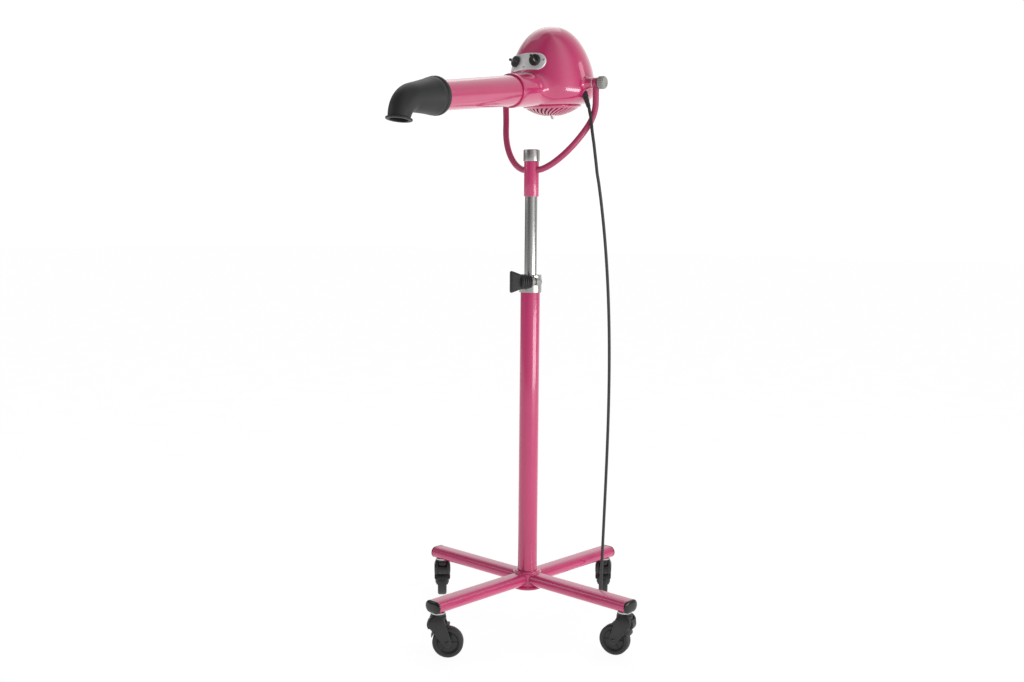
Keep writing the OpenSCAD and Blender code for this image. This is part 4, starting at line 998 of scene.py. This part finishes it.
def elbow_ring(s, r, sides=72):
    """A ring of radius r, s along the elbow: straight, round the bend and straight on."""
    a = clamp(math.degrees((s - ELBOW_RUN) / ELBOW_BEND), 0, ELBOW_TURN)
    past = max(0, s - elbow_len)
    run = min(s, ELBOW_RUN)
    centre = Vector((0, -ELBOW_BEND * (1 - cosd(a)) - past * sind(a),
                     BARREL_REACH + run + ELBOW_BEND * sind(a) + past * cosd(a)))
    other = Vector((0, cosd(a), sind(a)))
    return [centre + r * cosd(360 * k / sides) * Vector((1, 0, 0))
            + r * sind(360 * k / sides) * other for k in range(sides)]


neck_r = MOUTH_D / 2 + 3.5
outside = filleted([
    (-20, 34.15, 0.3), (-20, 41.2, 1.5), (-18, 44.1, 2.4), (-9.6, 44.1, 2.4), (-8.2, 42.0, 1),
    (-5.5, 42.0, 1), (-3.5, 43.0, 1.5)])
outside += [(elbow_len * k / 40, ELBOW_R + (neck_r + 0.3 - ELBOW_R) * (k / 40) ** 0.75)
            for k in range(1, 41)]
outside += filleted([(elbow_len + 1, neck_r + 0.2, 0), (elbow_len + 2.2, neck_r + 0.2, 1.5),
                     (elbow_len + 4.2, neck_r + LIP_T, 1.5),
                     (elbow_len + 8, neck_r + LIP_T, 1.8),
                     (elbow_len + 8, MOUTH_D / 2, 1)])
inside = [(elbow_len * (1 - k / 24), MOUTH_D / 2 + (TIP_D / 2 + 0.2 - MOUTH_D / 2) * k / 24)
          for k in range(25)]
elbow = piece("elbow_rubber", *skin([elbow_ring(s, r) for s, r in outside + inside],
                                    closed=True), black_rubber, "black_rubber", "nozzle",
              BARREL, sharp=50)
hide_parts("elbow_nozzle")

# -------------------- clamp knob

CLAMP_TURN, CLAMP_OUT, CLAMP_BACK, CLAMP_LEVEL, BOLT_R, NECK_TOP = -42, 44, -9.8, 29, 4.3, 28.4
TO_KNOB = (turn("Z", CLAMP_TURN) @ move(CLAMP_OUT, CLAMP_BACK, COLLAR_Z + CLAMP_LEVEL)
           @ turn("X", 90))
side_line = [(BOLT_R, 0, 0), (15.0, 0, 1)]
for k, r in enumerate((15.6, 17.0, 18.2, 18.9, 19.2)):
    low = 1.2 + 5.2 * k
    side_line += [(r, low, 1.1), (r, low + 3.4, 1.1), (r - 1.7, low + 3.9, 0.3),
                  (r - 1.7, low + 5.0, 0.3)]
side_line += [(16.5, NECK_TOP, 1), (BOLT_R, NECK_TOP, 0)]
rows = []
for at, width, thick in ((21, 30, 12), (24, 35, 14.5), (30, 39.5, 15), (38, 45.5, 14.6),
                         (46, 51.5, 14), (50, 54.3, 13.6), (52.5, 55.2, 13), (54.4, 54, 11.5),
                         (55.5, 51.5, 9), (56, 48, 6)):
    rows.append([Vector((y, x, at)) for x, y in stadium(width, thick)])
paddle = piece("clamp_paddle", *joined(spun(filleted(side_line, True, 3), 64, True), skin(rows)),
               black_plastic, "black_plastic", "clamp_knob", TO_KNOB)
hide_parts("clamp_knob")

# -------------------- panel and knobs

PANEL_LEVEL, PANEL_SLOPE, PANEL_TURN, PANEL_W, PANEL_H = 52, 19, -9.5, 112, 44
PLAY, PANEL_T, EDGE_IN, EDGE_DROP = 0.3, 3, 1.3, 1.2


def on_dome(around, level):
    """A frame on the dome, its z axis square to the panel's slope."""
    return (DOME @ move(0, 0, level) @ turn("Z", around - 90) @ move(dome_at(level), 0, 0)
            @ turn("Y", 90 - PANEL_SLOPE))


PANEL = on_dome(PANEL_TURN, PANEL_LEVEL)


def plate_rows(edge, lift):
    """A row of points for each step along the plate, on the dome raised by lift(inset)."""
    rows = []
    for i in range(57):
        y = (PANEL_W / 2 - edge) * math.sin(math.pi / 2 * (i / 28 - 1))
        over = max(0, abs(y) - (PANEL_W - PANEL_H) / 2)
        half = math.sqrt(max(0.0025, (PANEL_H / 2 - edge) ** 2 - over ** 2))
        row = []
        for j in range(25):
            x = half * math.sin(math.pi / 2 * (j / 12 - 1))
            inset = PANEL_H / 2 - math.hypot(over, x)
            z = last_inside(lambda h: PANEL @ Vector((x, y, h)), -60, 20, lift(inset))
            row.append(Vector((x, y, z)))
        rows.append(row)
    return rows


def grid(rows):
    """Points and faces of an open sheet of rows."""
    n = len(rows[0])
    verts = [p for row in rows for p in row]
    faces = [(i * n + j, i * n + j + 1, (i + 1) * n + j + 1, (i + 1) * n + j)
             for i in range(len(rows) - 1) for j in range(n - 1)]
    return verts, faces


def border(rows):
    """Points round a grid's edge, in order."""
    return ([row[0] for row in rows] + rows[-1][1:] + [row[-1] for row in rows[-2::-1]]
            + rows[0][-2:0:-1])


def plate_lift(inset):
    """Height of the plate's face over the dome, rounded off near its edge."""
    edge = clamp(inset / EDGE_IN)
    return PLAY + PANEL_T - EDGE_DROP * (1 - math.sqrt(1 - (1 - edge) ** 2))


top_rows = plate_rows(0.0, plate_lift)
low_rows = plate_rows(0.0, lambda inset: PLAY)
rim_top, rim_low = border(top_rows), border(low_rows)
count = len(rim_top)
wall = (rim_top + rim_low, [(k, (k + 1) % count, count + (k + 1) % count, count + k)
                            for k in range(count)])
plate = piece("panel_plate", *joined(grid(top_rows), grid(low_rows), wall), panel_silver,
              "panel_silver", "head", PANEL, sharp=50)
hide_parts("control_panel")

KNOB_H, KNOB_SPACING = 9, 60
MARK_LOW, MARK_TOP, MARK_OUT = 17.05, 17.32, 8.0
knob_swing = math.degrees(math.asin(KNOB_SPACING / 2 / dome_at(PANEL_LEVEL)))
knob_seat = PANEL_T + 0.8
skirt_side = filleted([(0, 0.3, 0), (13.6, 0.3, 0.4), (14.9, 1.0, 0.5), (14.9, 2.6, 0.6),
                       (14.0, 3.4, 0.5), (13.4, 8.3, 1.2), (0, KNOB_H + 0.3, 0)], steps=4)


def fluted(profile, flutes, depth, low, high, n=160):
    """A spun profile with flutes cut into its side between two heights."""
    verts, faces = spun(profile, n)
    out = []
    for v in verts:
        x, y, z = v
        r = math.hypot(x, y)
        if r > 1e-6 and low <= z <= high:
            a = math.atan2(y, x)
            r2 = r - depth * (0.5 + 0.5 * math.cos(flutes * a)) ** 3
            x, y = x * r2 / r, y * r2 / r
        out.append((x, y, z))
    return out, faces


bar_rows = []
for z, grow in ((7.0, 0), (14.6, -0.35), (16.0, -0.8), (16.9, -1.8), (17.2, -3.4)):
    bar_rows.append([Vector((x, y, z)) for x, y in stadium(27.2 + 2 * grow, 7.4 + 1.6 * grow, 8)])
for name, body, side_of, aim in (("speed", "speed_knob", 1, 40), ("heat", "heat_knob", -1, 80)):
    at = (on_dome(PANEL_TURN + side_of * knob_swing, PANEL_LEVEL) @ move(0, 0, knob_seat)
          @ turn("Z", aim))
    knob = piece(f"{name}_dial", *joined(fluted(skirt_side, 40, 0.5, 3.2, 8.0),
                                         skin(bar_rows)), black_plastic, "black_plastic", body,
                 at)
    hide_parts(f"{name}_knob")
    piece(f"{name}_mark", *placed(prism(stadium(9, 1.3, 4), MARK_LOW, MARK_TOP),
                                  move(MARK_OUT, 0, 0)), tie_white, "tie_white", body, at)

# Each screw's turn round the dome and its level
SCREWS = ((-9.5, 37), (-40, 52), (21, 52))
screw_head = spun(filleted([(0, 0, 0), (3.2, 0, 0.2), (3.1, 0.7, 0.5), (1.6, 1.5, 1.5),
                            (0, 1.6, 0)], steps=5), 32)
screws = piece("plate_screws", *joined(*[
    placed(screw_head, on_dome(*q) @ move(0, 0, PLAY + PANEL_T - 0.2)) for q in SCREWS]),
    steel, "steel", "head")
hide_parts("panel_screws")

# -------------------- tilt locks and gland

lock_side = filleted([(0, 0, 0), (9, 0, 0.4), (9, 3, 0.3), (15, 3, 0.8), (16, 5, 0.8),
                      (16, 16.5, 3.5), (13.5, 20.4, 2), (9.5, 20.6, 0.6), (8.6, 19.6, 0.6),
                      (0, 19.4, 0)], steps=5)
for name, body, s in (("right", "tilt_knob_right", 1), ("left", "tilt_knob_left", -1)):
    lock = piece(f"tilt_lock_{name}", *fluted(lock_side, 16, 1.6, 3.4, 18.5, 192), grey_plastic,
                 "grey_plastic", body,
                 HEAD @ turn("Y", s * 90) @ move(0, 0, YOKE_HALF + EYE_T / 2 + 0.3))
    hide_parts(f"tilt_knob_{name}")

boot = [(0, -8, 0), (8, -8, 0.5), (8, 6, 0.8), (6.9, 6.4, 0.3)]
for k in range(5):
    z = 9 + 5 * k
    r = 7.3 - 2.1 * (z - 6) / 30
    boot += [(r, z, 0.3), (r - 1.1, z + 0.4, 0.3), (r - 1.1, z + 1.8, 0.3),
             (r - 0.2, z + 2.2, 0.3)]
boot += [(5.3, 36, 0.8), (3.9, 36, 0)]
relief_boot = piece("cord_boot", *spun(filleted(boot, steps=2) + [(0, 35.6)], 40), pvc,
                    "black_plastic", "head", GLAND)
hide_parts("cord_gland")

# -------------------- last update
bpy.context.view_layer.update()
